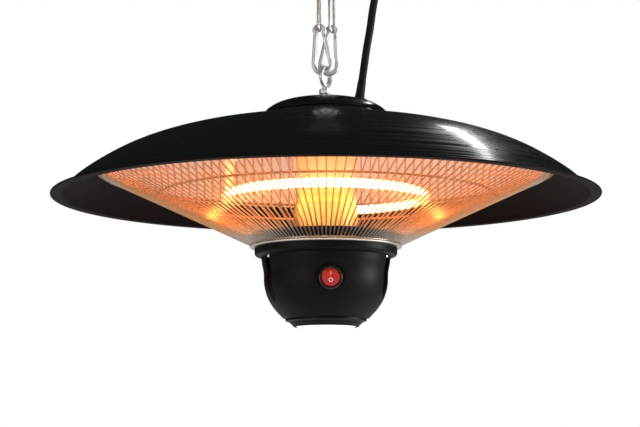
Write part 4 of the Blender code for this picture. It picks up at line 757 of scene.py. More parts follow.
# eye bolt and its nuts
eyeBolt = {"wire": 0.005, "radius": 0.0105, "turn": -27.0, "shank": 0.0040, "thread": 0.00125,
           "capTop": 0.1125,
           "threadDepth": 0.00045, "tipOut": 0.0035, "nutAcross": 0.013, "nutHeight": 0.005,
           "nutBore": 0.0043,
           "hubTop": 0.0953}

def makeEyeBolt():
    turn = rim @ moved(z=hang["eye"]) @ turned(eyeBolt["turn"])
    ring = [(0.0, y, z) for y, z in arcPoints(0, 0, eyeBolt["radius"], 0, 360, 72)][:-1]
    loop = barPiece("eye_loop", ring, eyeBolt["wire"] / 2, place=turn, cyclic=True, roundness=7)
    low = eyeBolt["hubTop"] - eyeBolt["nutHeight"] - eyeBolt["tipOut"] - hang["eye"]
    top = -eyeBolt["radius"] - 0.0010
    radius = eyeBolt["shank"]
    line = [(0.0, low), (radius * 0.8, low)]
    z = low + 0.0008
    while z < top - 0.0050:
        line += [(radius, z), (radius - eyeBolt["threadDepth"], z + eyeBolt["thread"] / 2)]
        z += eyeBolt["thread"]
    line += [(radius, top - 0.0035), (radius, top - 0.0015)]
    line += [(radius * 0.75, top + 0.0005), (0.0, top + 0.0005)]
    shank = spunPiece("eye_shank", line, 48, place=turn, angle=25.0)
    piece = joinPieces("eye_with_shank", [loop, shank])
    finishPiece(piece, "zinc", "heater", "eye_bolt")

def makeNut(name, low, node, turnBy):
    high = low + eyeBolt["nutHeight"]
    centre = (0, 0, (high + low) / 2)
    nothingSelected()
    bpy.ops.mesh.primitive_cylinder_add(vertices=6, radius=eyeBolt["nutAcross"] / math.sqrt(3),
                                        depth=high - low,
                                        location=centre)
    piece = bpy.context.object
    piece.name = name
    placeMesh(piece, rim @ moved(*centre) @ turned(turnBy))
    piece.location = (0, 0, 0)
    flat = eyeBolt["nutAcross"] / 2
    cone = [(0.0, low - 0.001), (flat - 0.0012, low - 0.001), (flat + 0.0014, low + 0.0010),
            (flat + 0.0014, high - 0.0010), (flat - 0.0012, high + 0.001), (0.0, high + 0.001)]
    cutAway(piece, spunPiece("chamfer", cone, 48), "INTERSECT")
    cutAway(piece, rodPiece("bore", eyeBolt["nutBore"], low - 0.01, high + 0.01))
    softenEdges(piece, 0.00018, 28)
    smoothShading(piece, 32.0)
    finishPiece(piece, "zinc", "heater", node)

makeEyeBolt()
makeNut("nut_on_cap", eyeBolt["capTop"] + gap, "jam_nut", 90.0)
makeNut("nut_above", eyeBolt["capTop"] + 2 * gap + eyeBolt["nutHeight"], "lock_nut", 74.0)
makeNut("nut_under_hub", eyeBolt["hubTop"] - gap - eyeBolt["nutHeight"], "hanger_nut", 82.0)


# snap hooks: a bent wire with a sprung gate
snapHook = {"gateTop": 0.0140, "gateLow": -0.0115, "topRadius": 0.0052, "neckHalf": 0.0043,
            "neckDrop": 0.0035,
            "pin": 0.0008, "pinHalf": 0.00245, "pinHole": 0.0012, "slot": 0.0026,
            "upperTongue": (0.0038, 0.0018, 0.0058), "lowerTongue": (0.0030, 0.0018, 0.0050),
            "tongueShift": 0.00126, "upperSlot": 0.00936, "lowerSlot": 0.00684, "gateEnd": 0.00108}
hookBow = (hang["hookWidth"] - hang["hookWire"]) / 2
hookBowCentre = -hang["hookLength"] / 2 + hang["hookWire"] / 2 + hookBow
hookTopCentre = hang["hookLength"] / 2 - hang["hookWire"] / 2 - snapHook["topRadius"]
hookNeck = hookTopCentre - snapHook["neckDrop"]

def gatePoint(height):
    # on the straight line from the neck to the bow
    share = (hookNeck - height) / (hookNeck - hookBowCentre)
    return (snapHook["neckHalf"] + (hookBow - snapHook["neckHalf"]) * share, height)

def hookLine():
    half = snapHook["neckHalf"]
    line = [(gatePoint(snapHook["gateTop"])[0] - 0.0002, snapHook["gateTop"] + 0.0029)]
    line += arcPoints(0.0, hookTopCentre, snapHook["topRadius"], -18, 198, 14)
    line += [(-half, hookNeck), (-half - 0.0009, hookNeck - 0.005)]
    line += arcPoints(0.0, hookBowCentre, hookBow, 174, 354, 18)
    return line + [gatePoint(snapHook["gateLow"] - 0.0022)]

def hookPlace(side):
    x = side * (hang["hookTopX"] + hang["hookBottomX"]) / 2
    lean = side * math.atan2(hang["hookTopX"] - hang["hookBottomX"],
                             hang["hookLength"] - hang["hookWire"] - snapHook["topRadius"])
    height = rimZ + hang["hookTop"] - hang["hookLength"] / 2
    return moved(x, side * hang["hookStep"], height) @ Matrix.Rotation(lean, 4, "Y")

def makeHook(word, side):
    place = hookPlace(side)
    path = [(x, 0.0, z) for x, z in smoothLine(hookLine(), 3)]
    body = barPiece("hook_wire", path, hang["hookWire"] / 2, place=place, roundness=7)
    softenEdges(body, 0.0004, 60)
    hinge = gatePoint(snapHook["gateTop"])
    latch = gatePoint(snapHook["gateLow"])
    tilt = math.atan2(latch[0] - hinge[0], hinge[1] - latch[1])
    lean = Matrix.Rotation(-tilt, 4, "Y")
    hingePlace = place @ moved(hinge[0], 0, hinge[1])
    joint = hingePlace @ lean
    latchPlace = place @ moved(latch[0], 0, latch[1]) @ lean
    shift = snapHook["tongueShift"]
    upper = boxPiece("tongue", snapHook["upperTongue"], (0, 0, shift), 0.0007, joint, 3)
    lower = boxPiece("tongue", snapHook["lowerTongue"], (0, 0, -shift), 0.0006, latchPlace, 3)
    piece = joinPieces("hook_body_" + word, [body, upper, lower])
    smoothShading(piece, 50.0)
    finishPiece(piece, "zinc", "hanger", "snap_hook_" + word)
    radius = hang["hookWire"] / 2
    length = (snapHook["gateTop"] - snapHook["gateLow"]) / math.cos(tilt)
    line = roundedOutline(boxCorners(0.0, -length - snapHook["gateEnd"], radius, radius * 0.96), 0.0006, 3)
    gate = spunPiece("gate_bar_" + word, [(max(r, 0.0), z) for r, z in line], 40, place=joint)
    for centre, height in ((0.0, snapHook["upperSlot"]), (-length, snapHook["lowerSlot"])):
        cutAway(gate, boxPiece("slot", (0.01, snapHook["slot"], height), (0, 0, centre), 0, joint))
    cutAway(gate, rodPiece("bore", snapHook["pinHole"], -0.006, 0.006, joint @ turned(90, "X")))
    smoothShading(gate, 35.0)
    finishPiece(gate, "zinc", "gate_" + word, "snap_gate_" + word)
    half = snapHook["pinHalf"]
    line = roundedOutline(boxCorners(0.0, -half, snapHook["pin"], half), 0.0003, 2)
    pin = spunPiece("gate_pin_" + word, line, 24, place=hingePlace @ turned(90, "X"))
    finishPiece(pin, "screw", "hanger", "snap_pin_" + word, slot="zinc_steel")

makeHook("left", -1)
makeHook("right", 1)


# chain links, each bent from wire and butt-welded on one side
chainLink = {"wire": 0.003, "length": 0.052, "width": 0.0134, "weldHalf": 0.0012,
             "turns": {"lower": (-12.0, -28.6), "middle": (90, 90), "upper": (0, 0)}}

def makeLink(level, word, side):
    node = "chain_link_%s_%s" % (level, word)
    low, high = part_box(node)
    centre = (Vector(low) + Vector(high)) / 2
    wire = chainLink["wire"] / 2
    radius = chainLink["width"] / 2 - wire
    straight = (chainLink["length"] - chainLink["width"]) / 2
    line = arcPoints(0.0, straight, radius, 0, 180, 18) + arcPoints(0.0, -straight, radius, 180, 360, 18)
    drop = hang["saddle"] - (hang["hookTop"] - hang["hookWire"] / 2)
    lean = Matrix.Rotation(math.atan2(side * hang["hookStep"], drop), 4, "X")
    place = moved(*centre) @ turned(chainLink["turns"][level][side > 0]) @ lean
    piece = barPiece("link_%s_%s" % (level, word), [(0.0, y, z) for y, z in line], wire, place=place,
                     cyclic=True,
                     roundness=6)
    seam = [(0.0, radius, z * chainLink["weldHalf"]) for z in (-1, 0, 1)]
    weld = barPiece("weld", seam, wire + 0.00002, place=place, roundness=6, radii=[0.85, 1.12, 0.85])
    piece = joinPieces(piece.name, [piece, weld])
    finishPiece(piece, "chain", "hanger", node)

for levelName in chainLink["turns"]:
    makeLink(levelName, "left", -1)
    makeLink(levelName, "right", 1)


# ceiling plate and staple
ceiling = {"plateRadius": 0.035, "plateThick": 0.004, "screwOut": 0.027, "screwHead": 0.0045,
           "screwHole": 0.0025,
           "stapleHalf": 0.019, "stapleBend": 0.007, "stapleWire": 0.0025, "steps": 96}

def makeCeilingFixture():
    thick = ceiling["plateThick"]
    radius = ceiling["plateRadius"]
    line = roundedOutline([(0.0, 0.0), (0.0, -thick), (radius, -thick), (radius, 0.0)], 0.0012, 4)
    plate = spunPiece("ceiling_disc", line, ceiling["steps"], place=moved())
    head, hole = ceiling["screwHead"], ceiling["screwHole"]
    for side in (-1, 1):
        sink = [(0.0, -0.006), (head, -0.006), (head, -thick), (hole, -0.0022), (hole, 0.002), (0.0, 0.002)]
        cutAway(plate, spunPiece("screwHole", sink, 32, place=moved(y=side * ceiling["screwOut"])))
    smoothShading(plate, 30.0)
    finishPiece(plate, "plate", "mounting", "ceiling_plate")
    half = ceiling["stapleHalf"]
    corner = ceiling["stapleBend"]
    low = hang["saddle"]
    top = -rimZ - thick - gap
    path = [(-half, top), (-half, top - 0.004)]
    path += arcPoints(-half + corner, low + corner, corner, 180, 270, 12)
    path += arcPoints(half - corner, low + corner, corner, 270, 360, 12)
    path += [(half, top - 0.004), (half, top)]
    staple = barPiece("ceiling_loop", [(x, 0.0, z) for x, z in path], ceiling["stapleWire"], roundness=6)
    finishPiece(staple, "zinc", "mounting", "ceiling_staple")

makeCeilingFixture()
print("hanging parts made")


# reflector bowl, column and the pan under it
reflector = {"line": [(0.056, 0.0836), (0.085, 0.0770), (0.135, 0.0668), (0.175, 0.0570), (0.207, 0.0440),
                      (0.2385, 0.0278)],
             "hole": 0.028, "rimStart": 0.2398, "rimRadius": 0.251, "rimHeight": 0.0273, "wall": 0.0012,
             "steps": 160}
column = {"radius": 0.033, "wall": 0.0015, "flange": 0.046, "flangeThick": 0.0012, "bend": 0.0030,
          "baseTop": -0.0070, "baseWall": 0.0018, "baseFoot": 0.0040, "baseBend": 0.0025, "steps": 96}
pan = {"floorLow": -0.0516, "floorThick": 0.0012, "floorRadius": 0.0770, "rimRadius": 0.0876,
       "rimHeight": -0.0400, "hole": 0.024, "steps": 128}
panFloor = pan["floorLow"] + pan["floorThick"]

def makeReflector():
    bowl = smoothLine(reflector["line"], 6)
    hole, edge, height = reflector["hole"], reflector["rimRadius"], reflector["rimHeight"]
    lower = [(hole, bowl[0][1])] + bowl + [(reflector["rimStart"], height), (edge, height)]
    upper = wallInside(lower, -reflector["wall"])
    upper[0] = (hole, lower[0][1] + reflector["wall"])
    upper[-1] = (edge, height + reflector["wall"])
    piece = spunPiece("reflector_bowl", lower + upper[::-1], reflector["steps"])
    finishPiece(piece, "reflector", "heater", "reflector")

def makeColumn():
    out, bend = column["radius"], column["bend"]
    inner = out - column["wall"]
    top = reflector["line"][0][1] - gap
    flangeLow = top - column["flangeThick"]
    low = panFloor + 0.004
    line = [(inner, low), (out, low), (out, top - 0.0045)]
    line += arcPoints(out + bend, flangeLow - bend, bend, 180, 90, 5)
    line += [(column["flange"], flangeLow), (column["flange"], top), (inner, top)]
    finishPiece(spunPiece("column_shell", line, column["steps"]), "column", "heater", "column_tube")
    bore = column["radius"] + gap
    low = panFloor + gap
    out = bore + column["baseWall"]
    foot = out + column["baseFoot"]
    bend = column["baseBend"]
    high = column["baseTop"]
    line = [(bore, low), (foot, low), (foot, low + 0.0012)]
    line += arcPoints(out + bend, low + 0.0012 + bend, bend, 270, 180, 5)
    line += [(out, high - 0.0006), (out - 0.0006, high), (bore, high)]
    finishPiece(spunPiece("column_sleeve", line, column["steps"]), "sleeve", "heater", "column_base")

def makePan():
    low, wide, edge, high = (pan[key] for key in ("floorLow", "floorRadius", "rimRadius", "rimHeight"))
    side = smoothLine([(wide, low + 0.0002), (wide + 0.0014, low + 0.0040), (edge - 0.0002, high - 0.0004)],
                      5)
    inner = smoothLine([(edge - 0.0010, high + 0.0005), (wide + 0.0002, low + 0.0050),
                        (wide - 0.0016, panFloor)], 5)
    line = [(pan["hole"], low)] + side + [(edge, high)] + inner + [(pan["hole"], panFloor)]
    finishPiece(spunPiece("shield_pan", line, pan["steps"]), "pan", "heater", "heat_shield_pan")

makeReflector()
makeColumn()
makePan()


# ring lamp and its two holders
lamp = {"radius": 0.110, "tube": 0.0050, "height": 0.0025, "start": 175.0, "sweep": 280.0, "bend": 0.020,
        "rise": 0.046, "steps": 90, "holder": (0.016, 0.020), "collarIn": 0.0054, "collarOut": 0.0066,
        "collarDrop": 0.0060}

def lampLine():
    first = math.radians(lamp["start"])
    last = math.radians(lamp["start"] + lamp["sweep"])
    bend = lamp["bend"]
    def at(angle, along, height):
        return (lamp["radius"] * math.cos(angle) - along * math.sin(angle),
                lamp["radius"] * math.sin(angle) + along * math.cos(angle), lamp["height"] + height)
    points = [at(first, -bend, lamp["rise"])]
    points += [at(first, along, height) for along, height in arcPoints(0.0, bend, bend, 180, 262, 9)]
    points += [at(first + (last - first) * i / lamp["steps"], 0.0, 0.0) for i in range(lamp["steps"] + 1)]
    points += [at(last, along, height) for along, height in arcPoints(0.0, bend, bend, 278, 360, 9)]
    return points + [at(last, bend, lamp["rise"])]

def makeLamp():
    line = lampLine()
    finishPiece(barPiece("lamp_tube", line, lamp["tube"], roundness=7), "lamp", "heater", "ring_lamp")
    inside, outside = lamp["collarIn"], lamp["collarOut"]
    for number, end in ((1, line[0]), (2, line[-1])):
        node = "lamp_holder_%d" % number
        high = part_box(node)[1][2] - rimZ
        low = end[2] + gap
        foot = low - lamp["collarDrop"]
        spot = rim @ moved(end[0], end[1]) @ Matrix.Rotation(math.atan2(end[1], end[0]), 4, "Z")
        block = boxPiece("block", (*lamp["holder"], high - low), (0, 0, (high + low) / 2), 0.0012, spot, 3)
        collar = [(inside, foot), (outside - 0.0005, foot), (outside, foot + 0.0008), (outside, low + 0.002),
                  (inside, low + 0.002)]
        socket = spunPiece("socket", collar, 40, place=spot)
        holder = joinPieces("holder_%d" % number, [block, socket])
        finishPiece(holder, "ceramic", "heater", node)

makeLamp()


# wire guard: one wire bent and copied round, with its rings welded on
guard = {"wires": 136, "wire": 0.0009, "midRadius": 0.186, "midWire": 0.0024, "midSteps": 144,
         "bandHalf": 0.001,
         "top": {"radius": 0.243, "height": 0.0250, "band": 0.0050},
         "low": {"radius": 0.0810, "height": -0.0504, "band": 0.0030}}
trimRing = {"inner": 0.0705, "low": 0.0828, "middle": 0.0836, "high": 0.0830, "steps": 160}

def guardBand(name, ring):
    r, z, half = ring["radius"], ring["height"], ring["band"] / 2
    corners = boxCorners(r - half, z - guard["bandHalf"], r + half, z + guard["bandHalf"])
    return spunPiece(name, roundedOutline(corners, 0.0008, 3), 192)

def makeGuard():
    outer, top = guard["top"]["radius"], guard["top"]["height"]
    inner, low = guard["low"]["radius"], guard["low"]["height"]
    line = [(outer + 0.0012, 0.0, top - 0.0002), (outer - 0.0014, 0.0, top - 0.0009)]
    line += [(outer + (inner - outer) * share, 0.0, top + (low - top) * share) for share in (0.25, 0.6)]
    line += [(inner + 0.0030, 0.0, low + 0.0012), (inner, 0.0, low)]
    wires = barPiece("guard_wires", line, guard["wire"], roundness=2)
    count = guard["wires"]
    editAll(bpy.ops.mesh.spin, steps=count - 1, angle=2 * math.pi * (count - 1) / count, center=(0, 0, 0),
            axis=(0, 0, 1), dupli=True)
    bands = [guardBand("topBand", guard["top"]), guardBand("lowBand", guard["low"])]
    piece = joinPieces("guard_lattice", [wires] + bands)
    smoothShading(piece, 50.0)
    finishPiece(piece, "guard", "heater", "wire_guard")
    low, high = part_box("guard_mid_ring")
    middle = (low[2] + high[2]) / 2 - rimZ
    circle = arcPoints(0, 0, guard["midRadius"], 0, 360, guard["midSteps"])[:-1]
    ring = barPiece("guard_hoop", [(x, y, middle) for x, y in circle], guard["midWire"] / 2, cyclic=True,
                    roundness=4)
    finishPiece(ring, "guard", "heater", "guard_mid_ring")

def makeTrimRing():
    low, high = (corner[2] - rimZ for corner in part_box("guard_trim_ring"))
    corners = [(trimRing["inner"], low), (trimRing["low"], low),
               (trimRing["middle"], (low + high) / 2 + 0.0002),
               (trimRing["high"], high), (trimRing["inner"], high)]
    piece = spunPiece("trim_hoop", roundedOutline(corners, 0.0008, 4), trimRing["steps"])
    finishPiece(piece, "trim", "heater", "guard_trim_ring")

makeGuard()
makeTrimRing()
print("lamp and guard made")


# lower housing: moulded cup with screw grooves and the switch's recess
housing = {"wall": [(0.0700, -0.0710), (0.0681, -0.0810), (0.0677, -0.0920), (0.0660, -0.1015),
                    (0.0624, -0.1110),
                    (0.0563, -0.1205), (0.0475, -0.1302)],
           "flange": [(0.0781, -0.0541), (0.0781, -0.0590), (0.0779, -0.0608), (0.0772, -0.0622),
                      (0.0758, -0.0630), (0.0722, -0.0635), (0.0708, -0.0640)],
           "foot": [(0.0462, 0.0002), (0.0455, 0.0006), (0.0445, 0.0014), (0.0, 0.0014)],
           "top": -0.0541, "thick": 0.0025, "turn": 4.0, "cavity": 0.0560, "cavityFoot": 0.0435,
           "switchBoss": 0.0190,
           "lensOpening": 0.0405, "grooveRadius": 0.0062, "grooveCircle": 0.0665, "grooveTop": -0.0640,
           "grooveLow": -0.138, "grooveWall": 0.0022, "screwHole": 0.0023,
           "grooves": {"left": -68.0, "right": 68.0, "rear": 180.0}, "steps": 144}
caseScrew = {"shank": 0.0019, "head": 0.0040, "headHeight": 0.0026, "cross": (0.0042, 0.0009, 0.0022)}
switch = {"height": -0.0920, "recess": 0.0164, "floor": 0.0650, "hole": 0.0116, "body": 0.0112,
          "bezel": 0.0127,
          "bezelThick": 0.0030, "depth": 0.0230, "pocket": 0.0102, "rocker": 0.0099, "slope": 9.0,
          "crest": 0.0040, "axisShare": 0.62}
housingTurn = turned(housing["turn"])
switchPlace = rim @ housingTurn @ moved(z=switch["height"]) @ turned(90, "X")
housingFoot = housing["wall"][-1][1]

def grooveSpot(angle):
    turn = math.radians(angle)
    circle = housing["grooveCircle"]
    spot = housingTurn @ Vector((circle * math.sin(turn), -circle * math.cos(turn), 0))
    return rim @ moved(spot.x, spot.y)

def makeCavity(wall):
    # the hollow inside the cup, less the room that the switch and the screws keep
    wide, top, floor = housing["cavity"], housing["top"] + 0.01, housingFoot + housing["thick"]
    inside = [(r, z) for r, z in wallInside(wall, housing["thick"]) if z > floor]
    line = [(0.0, top), (wide, top), (wide, inside[0][1])] + [(min(r, wide), z) for r, z in inside]
    hollow = spunPiece("cavity", line + [(housing["cavityFoot"], floor), (0.0, floor)], 72)
    cutAway(hollow, rodPiece("boss", housing["switchBoss"], 0.050, 0.09, switchPlace))
    for angle in housing["grooves"].values():
        boss = housing["grooveRadius"] + housing["grooveWall"]
        cutAway(hollow, rodPiece("boss", boss, -0.15, 0.0, grooveSpot(angle)))
    return hollow

def makeHousing():
    wall = smoothLine(housing["wall"], 5)
    foot = [(r, housingFoot - drop) for r, drop in housing["foot"]]
    line = [(0.0, housing["top"])] + housing["flange"] + wall + foot
    piece = spunPiece("housing_cup", line, housing["steps"])
    cutAway(piece, makeCavity(wall))
    radius, low, high = housing["grooveRadius"], housing["grooveLow"], housing["grooveTop"]
    for angle in housing["grooves"].values():
        spot = grooveSpot(angle)
        groove = boxCorners(0.0, low, radius, high)
        cutAway(piece, spunPiece("groove", groove, 48, place=spot @ Matrix.Rotation(0.03, 4, "Z")))
        cutAway(piece, rodPiece("hole", housing["screwHole"], high - 0.005, housing["top"] + 0.01, spot, 24))
    cutAway(piece, rodPiece("recess", switch["recess"], switch["floor"], 0.09, switchPlace, 72))
    cutAway(piece, rodPiece("hole", switch["hole"], 0.03, 0.08, switchPlace, 48))
    opening = housing["lensOpening"]
    cutAway(piece, rodPiece("opening", opening, housingFoot - 0.01, housingFoot + 0.02, rim, 96))
    softenEdges(piece, 0.0005, 38, 3, use_clamp_overlap=True)
    smoothShading(piece, 32.0)
    finishPiece(piece, "housing", "heater", "lower_housing")

def makeHousingScrews():
    high = housing["grooveTop"] - gap
    low = high - caseScrew["headHeight"]
    head, shank = caseScrew["head"], caseScrew["shank"]
    line = [(0.0, low), (0.0022, low), (0.0034, low + 0.0003), (head, low + 0.0012), (head, high),
            (shank, high),
            (shank, panFloor + 0.0015), (shank - 0.0005, panFloor + 0.0020), (0.0, panFloor + 0.0020)]
    for word, angle in housing["grooves"].items():
        place = grooveSpot(angle)
        piece = spunPiece("case_screw_" + word, line, 40, place=place)
        for turn in (0.35, 0.35 + math.pi / 2):
            cross = place @ Matrix.Rotation(turn, 4, "Z")
            cutAway(piece, boxPiece("cross", caseScrew["cross"], (0, 0, low), 0, cross))
        smoothShading(piece, 35.0)
        finishPiece(piece, "screw", "heater", "housing_screw_" + word)

makeHousing()
makeHousingScrews()


# round rocker switch with its marks
def makeSwitch():
    floor = switch["floor"] + gap
    face = floor + switch["bezelThick"]
    back = floor - switch["depth"]
    axis = face - switch["crest"] * switch["axisShare"]
    low = axis - switch["rocker"] - gap
    body, bezel, pocket = switch["body"], switch["bezel"], switch["pocket"]
    line = [(0.0, back), (body - 0.0008, back), (body, back + 0.0008), (body, floor), (bezel - 0.0002, floor),
            (bezel, floor + 0.0004)]
    line += arcPoints(bezel - 0.0012, face - 0.0012, 0.0012, 0, 90, 6)
    line += arcPoints(pocket + 0.0006, face - 0.0006, 0.0006, 90, 180, 4) + [(pocket, low), (0.0, low)]
    finishPiece(spunPiece("switch_bezel", line, 96, place=switchPlace), "switch", "heater", "switch_body")
    return axis

rockerMarks = {"bar": (0.00070, 0.0032, 0.00016), "barUp": 0.0040, "ringIn": 0.0016, "ringOut": 0.0022,
               "ringUp": -0.0036}

def makeRocker(axis):
    slope = math.radians(switch["slope"])
    joint = switchPlace @ moved(z=axis) @ Matrix.Rotation(-slope, 4, "X")
    nothingSelected()
    bpy.ops.mesh.primitive_uv_sphere_add(segments=64, ring_count=48, radius=switch["rocker"],
                                         location=(0, 0, 0))
    piece = bpy.context.object
    piece.name = "rocker_button"
    crest = (0, 0, switch["crest"])
    planes = [(crest, (0, math.sin(slope), math.cos(slope))), (crest, (0, -math.sin(slope), math.cos(slope))),
              ((0, 0, -switch["rocker"] * 0.62), (0, 0, -1))]
    for point, normal in planes:
        editAll(bpy.ops.mesh.bisect, plane_co=point, plane_no=normal, use_fill=True, clear_outer=True)
    placeMesh(piece, joint)
    softenEdges(piece, 0.0004, 14, 3)
    smoothShading(piece, 25.0)
    finishPiece(piece, "rocker", "rocker", "switch_rocker")
    # the I above and the O below, printed on the two faces
    upper, lower = (joint @ moved(*crest) @ Matrix.Rotation(-side * slope, 4, "X") for side in (1, -1))
    marks = rockerMarks
    onMark = boxPiece("mark_on", marks["bar"], (0, marks["barUp"], 0.00002), 0.00006, upper)
    outline = roundedOutline(boxCorners(marks["ringIn"], -0.00006, marks["ringOut"], 0.0001), 0.00005, 2)
    offMark = spunPiece("mark_off", outline, 48, place=lower @ moved(y=marks["ringUp"]))
    for mark in (onMark, offMark):
        finishPiece(mark, "mark", "rocker")

makeRocker(makeSwitch())


# down light in the housing's foot
downLight = {"top": -0.1285, "rim": -0.1395, "lens": 0.0330, "crown": 0.0080, "wall": 0.0020, "neck": 0.0402,
             "flange": 0.0443,
             "steps": [(0.0, 0.0018), (-0.0003, 0.0022), (-0.0045, 0.0036), (-0.0051, 0.0040),
                       (-0.0055, 0.0050), (-0.0067, 0.0058)]}

def makeDownLight():
    face = housingFoot - 0.0014
    top, rimLow, neck, flange = downLight["top"], downLight["rim"], downLight["neck"], downLight["flange"]
    outer = [(neck, top), (neck, face - gap), (flange, face - gap)]
    outer += [(flange + r, face - drop) for r, drop in downLight["steps"]] + [(0.0352, rimLow - 0.0006)]
    bore = downLight["lens"] + gap
    inner = [(bore, rimLow - 0.0006), (bore, rimLow + 0.0040), (bore - 0.0020, rimLow + 0.0040),
             (bore - 0.0020, rimLow + 0.0052), (0.0368, top)]
    finishPiece(spunPiece("lens_collar", outer + inner, 128, angle=28.0), "housing", "heater", "lens_ring")
    radius, crown, wall = downLight["lens"], downLight["crown"], downLight["wall"]
    sphere = (radius ** 2 + crown ** 2) / (2 * crown)
    half = math.degrees(math.asin(radius / sphere))
    centre = rimLow - crown + sphere
    outer = arcPoints(0.0, centre, sphere, 270, 270 + half, 16)
    outer[0] = (0.0, rimLow - crown)
    inner = arcPoints(0.0, centre, sphere - wall, 270 + half * 0.93, 270, 14)
    inner[-1] = (0.0, rimLow - crown + wall)
    edge = [(radius, rimLow + 0.0034), (radius - 0.0003, rimLow + 0.0037), (radius - 0.0020, rimLow + 0.0037)]
    finishPiece(spunPiece("opal_lens", outer + edge + inner, 96), "lens", "heater", "lamp_lens")

makeDownLight()


# plug, its pins and the strap round the coil
plug = {"low": -0.068, "radius": 0.0185,
        "side": [(0.0185, -0.052), (0.0155, -0.048), (0.0135, -0.038), (0.0105, -0.026), (0.0085, -0.022)],
        "pinOut": 0.0095, "pinLength": 0.019, "pinRadius": 0.0024}
tie = {"thick": 0.0015, "corner": 0.0055, "edge": 0.0005}

def makePlug():
    tip = cable["radius"] + 0.0006
    low, wide = plug["low"], plug["radius"]
    place = rim @ moved(cable["plugX"], cableRoute[-1].y, cable["plugTop"])
    side = smoothLine(plug["side"] + [(tip, -0.0006)], 6)
    line = [(0.0, low), (wide - 0.0020, low), (wide - 0.0006, low + 0.0006), (wide, low + 0.002)]
    body = spunPiece("plug_shell", line + side + [(tip - 0.0004, 0.0), (0.0, 0.0)], 96, place=place)
    pieces = [finishPiece(body, "rubber", "hanger", "plug_body")]
    end, out = low - plug["pinLength"], plug["pinRadius"]
    line = [(0.0, end), (out / 2, end), (out - 0.0003, end + 0.0006), (out, end + 0.0018), (out, low - gap),
            (0.0, low - gap)]
    for word, sign in (("left", -1), ("right", 1)):
        pin = spunPiece("plug_prong_" + word, line, 32, place=place @ moved(sign * plug["pinOut"]))
        pieces.append(finishPiece(pin, "pin", "hanger", "plug_pin_" + word))
    return pieces

def makeTie():
    low, high = [Vector(p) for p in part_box("coil_tie")]
    thick, corner, edge = tie["thick"], tie["corner"], tie["edge"]
    left, right, front, back = low.x + corner, high.x - corner, low.y + corner, high.y - corner
    def band(grow, z):
        spots = ((right, back, 0), (left, back, 90), (left, front, 180), (right, front, 270))
        return [(px, py, z) for x, y, start in spots
                for px, py in arcPoints(x, y, corner - grow, start, start + 90, 6)]
    rounded = [(thick * 0.5, low.z), (0.0, low.z + edge), (0.0, high.z - edge), (thick * 0.5, high.z),
               (thick, high.z - edge), (thick, low.z + edge)]
    rows = [band(grow, z) for grow, z in rounded]
    size = len(rows[0])
    faces = []
    for a in range(len(rows)):
        here, above = a * size, (a + 1) % len(rows) * size
        faces += [(here + i, here + (i + 1) % size, above + (i + 1) % size, above + i) for i in range(size)]
    nothingSelected()
    mesh = bpy.data.meshes.new("coil_strap")
    mesh.from_pydata([point for row in rows for point in row], [], faces)
    piece = newObject("coil_strap", mesh)
    pickOnly(piece)
    editAll(bpy.ops.mesh.normals_make_consistent, inside=False)
    smoothShading(piece, 40.0)
    return finishPiece(piece, "strap", "hanger", "coil_tie")

onCable = makePlug() + [makeTie()]


# finishes for the model's own pieces that stay as they are
plainNodes = {"mounting_plate": "zinc", "distance_sleeve": "zinc", "terminal_block": "ceramic",
              "led_board": "board"}
for number in (1, 2, 3):
    plainNodes["hub_screw_%d" % number] = "zinc"
    plainNodes["hub_spacer_%d" % number] = "zinc"
    plainNodes["guard_clip_%d" % number] = "guard"
for name, finish in plainNodes.items():
    setMaterial(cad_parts[name], finishes[finish])
print("all pieces made")


# floor, world and studio lamps
studio = {"floorHeight": -1.35, "floorSize": 12.0, "worldLight": 0.75}
lamps = {"keySoftbox": {"place": (-1.6, -1.7, -0.3), "target": (0.0, 0.0, -0.35), "along": (0, 0, 1),
                        "size": (0.9, 0.9), "power": 9.0},
         "rightSoftbox": {"place": (1.7, -0.1, -0.25), "target": (0.0, 0.0, -0.40), "along": (0, 0, 1),
                          "size": (0.5, 0.7), "power": 25.0},
         "streakStrip": {"place": (0.586, 0.780, 0.668), "target": (0.14, -0.22, -0.355),
                         "along": (0.587, -0.676, 0.448), "size": (0.070, 0.70), "power": 2.0}}

def makeFloor():
    nothingSelected()
    bpy.ops.mesh.primitive_plane_add(size=studio["floorSize"], location=(0, 0, studio["floorHeight"]))
    floor = bpy.context.object
    floor.name = "floor"
    material, tree, shader = startMaterial("paleFloor", (0.86, 0.86, 0.85), 0.0, 0.8)
    patches = useGroup(tree, "grain", Size=60.0, Slow=2.0)[1]
    linkColour(tree, shader, patches, (0.84, 0.84, 0.83), (0.90, 0.90, 0.89))
    setMaterial(floor, material)

def backdrop(tree, colour, strength=1.0):
    node = tree.nodes.new("ShaderNodeBackground")
    if isinstance(colour, tuple):
        node.inputs[0].default_value = colour
    else:
        tree.links.new(colour, node.inputs[0])
    node.inputs[1].default_value = strength
    return node.outputs[0]

def mixShaders(tree, *sources):
    node = tree.nodes.new("ShaderNodeMixShader")
    for index, source in enumerate(sources):
        tree.links.new(source, node.inputs[index])
    return node.outputs[0]

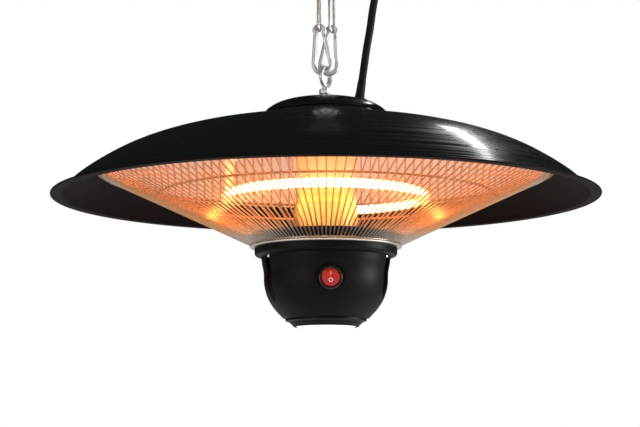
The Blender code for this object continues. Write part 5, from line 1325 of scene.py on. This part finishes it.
def makeWorld():
    world = bpy.data.worlds.new("studioWorld")
    bpy.context.scene.world = world
    world.use_nodes = True
    tree = world.node_tree
    tree.nodes.clear()
    out = tree.nodes.new("ShaderNodeOutputWorld")
    path = tree.nodes.new("ShaderNodeLightPath")
    seen = mathNode(tree, "MAXIMUM", path.outputs["Is Camera Ray"], path.outputs["Is Transmission Ray"])
    # what shiny surfaces see: pale paper at the sides and in front, dark overhead and high behind
    x, y, z = pointParts(tree, "Generated")
    height = rangeNode(tree, z, -1.0, 1.0)
    aside = rampNode(tree, mathNode(tree, "ABSOLUTE", x),
                     [(0.0, 0.50), (0.45, 0.60), (0.8, (0.95, 0.95, 0.94)), (1.0, 0.80)])
    level = rampNode(tree, height,
                     [(0.0, 0.20), (0.40, 0.45), (0.50, 0.90), (0.56, 0.55), (0.68, 0.10), (1.0, 0.04)])
    behind = rampNode(tree, height, [(0.0, 0.10), (0.44, 0.06), (0.53, (0.03, 0.035, 0.035)),
                                     (0.60, (0.008, 0.010, 0.010)), (1.0, (0.006, 0.008, 0.008))])
    around = colourMix(tree, 1.0, aside, level, "MULTIPLY")
    sky = colourMix(tree, rangeNode(tree, y, -0.1, 0.15), around, behind)
    white = (1, 1, 1, 1)
    lit = mixShaders(tree, path.outputs["Is Glossy Ray"], backdrop(tree, white, studio["worldLight"]),
                     backdrop(tree, sky))
    tree.links.new(mixShaders(tree, seen, lit, backdrop(tree, white)), out.inputs[0])

def makeSoftbox(name, values):
    data = bpy.data.lights.new(name, "AREA")
    data.shape = "RECTANGLE"
    data.size, data.size_y = values["size"]
    data.energy = values["power"]
    light = newObject(name, data)
    back = (Vector(values["place"]) - Vector(values["target"])).normalized()
    side = Vector(values["along"]).cross(back).normalized()
    turn = Matrix((side, back.cross(side), back)).transposed()
    light.matrix_world = moved(*values["place"]) @ turn.to_4x4()

makeFloor()
makeWorld()
for name, values in lamps.items():
    makeSoftbox(name, values)
bpy.context.scene.view_settings.view_transform = "Standard"
print("studio lit")
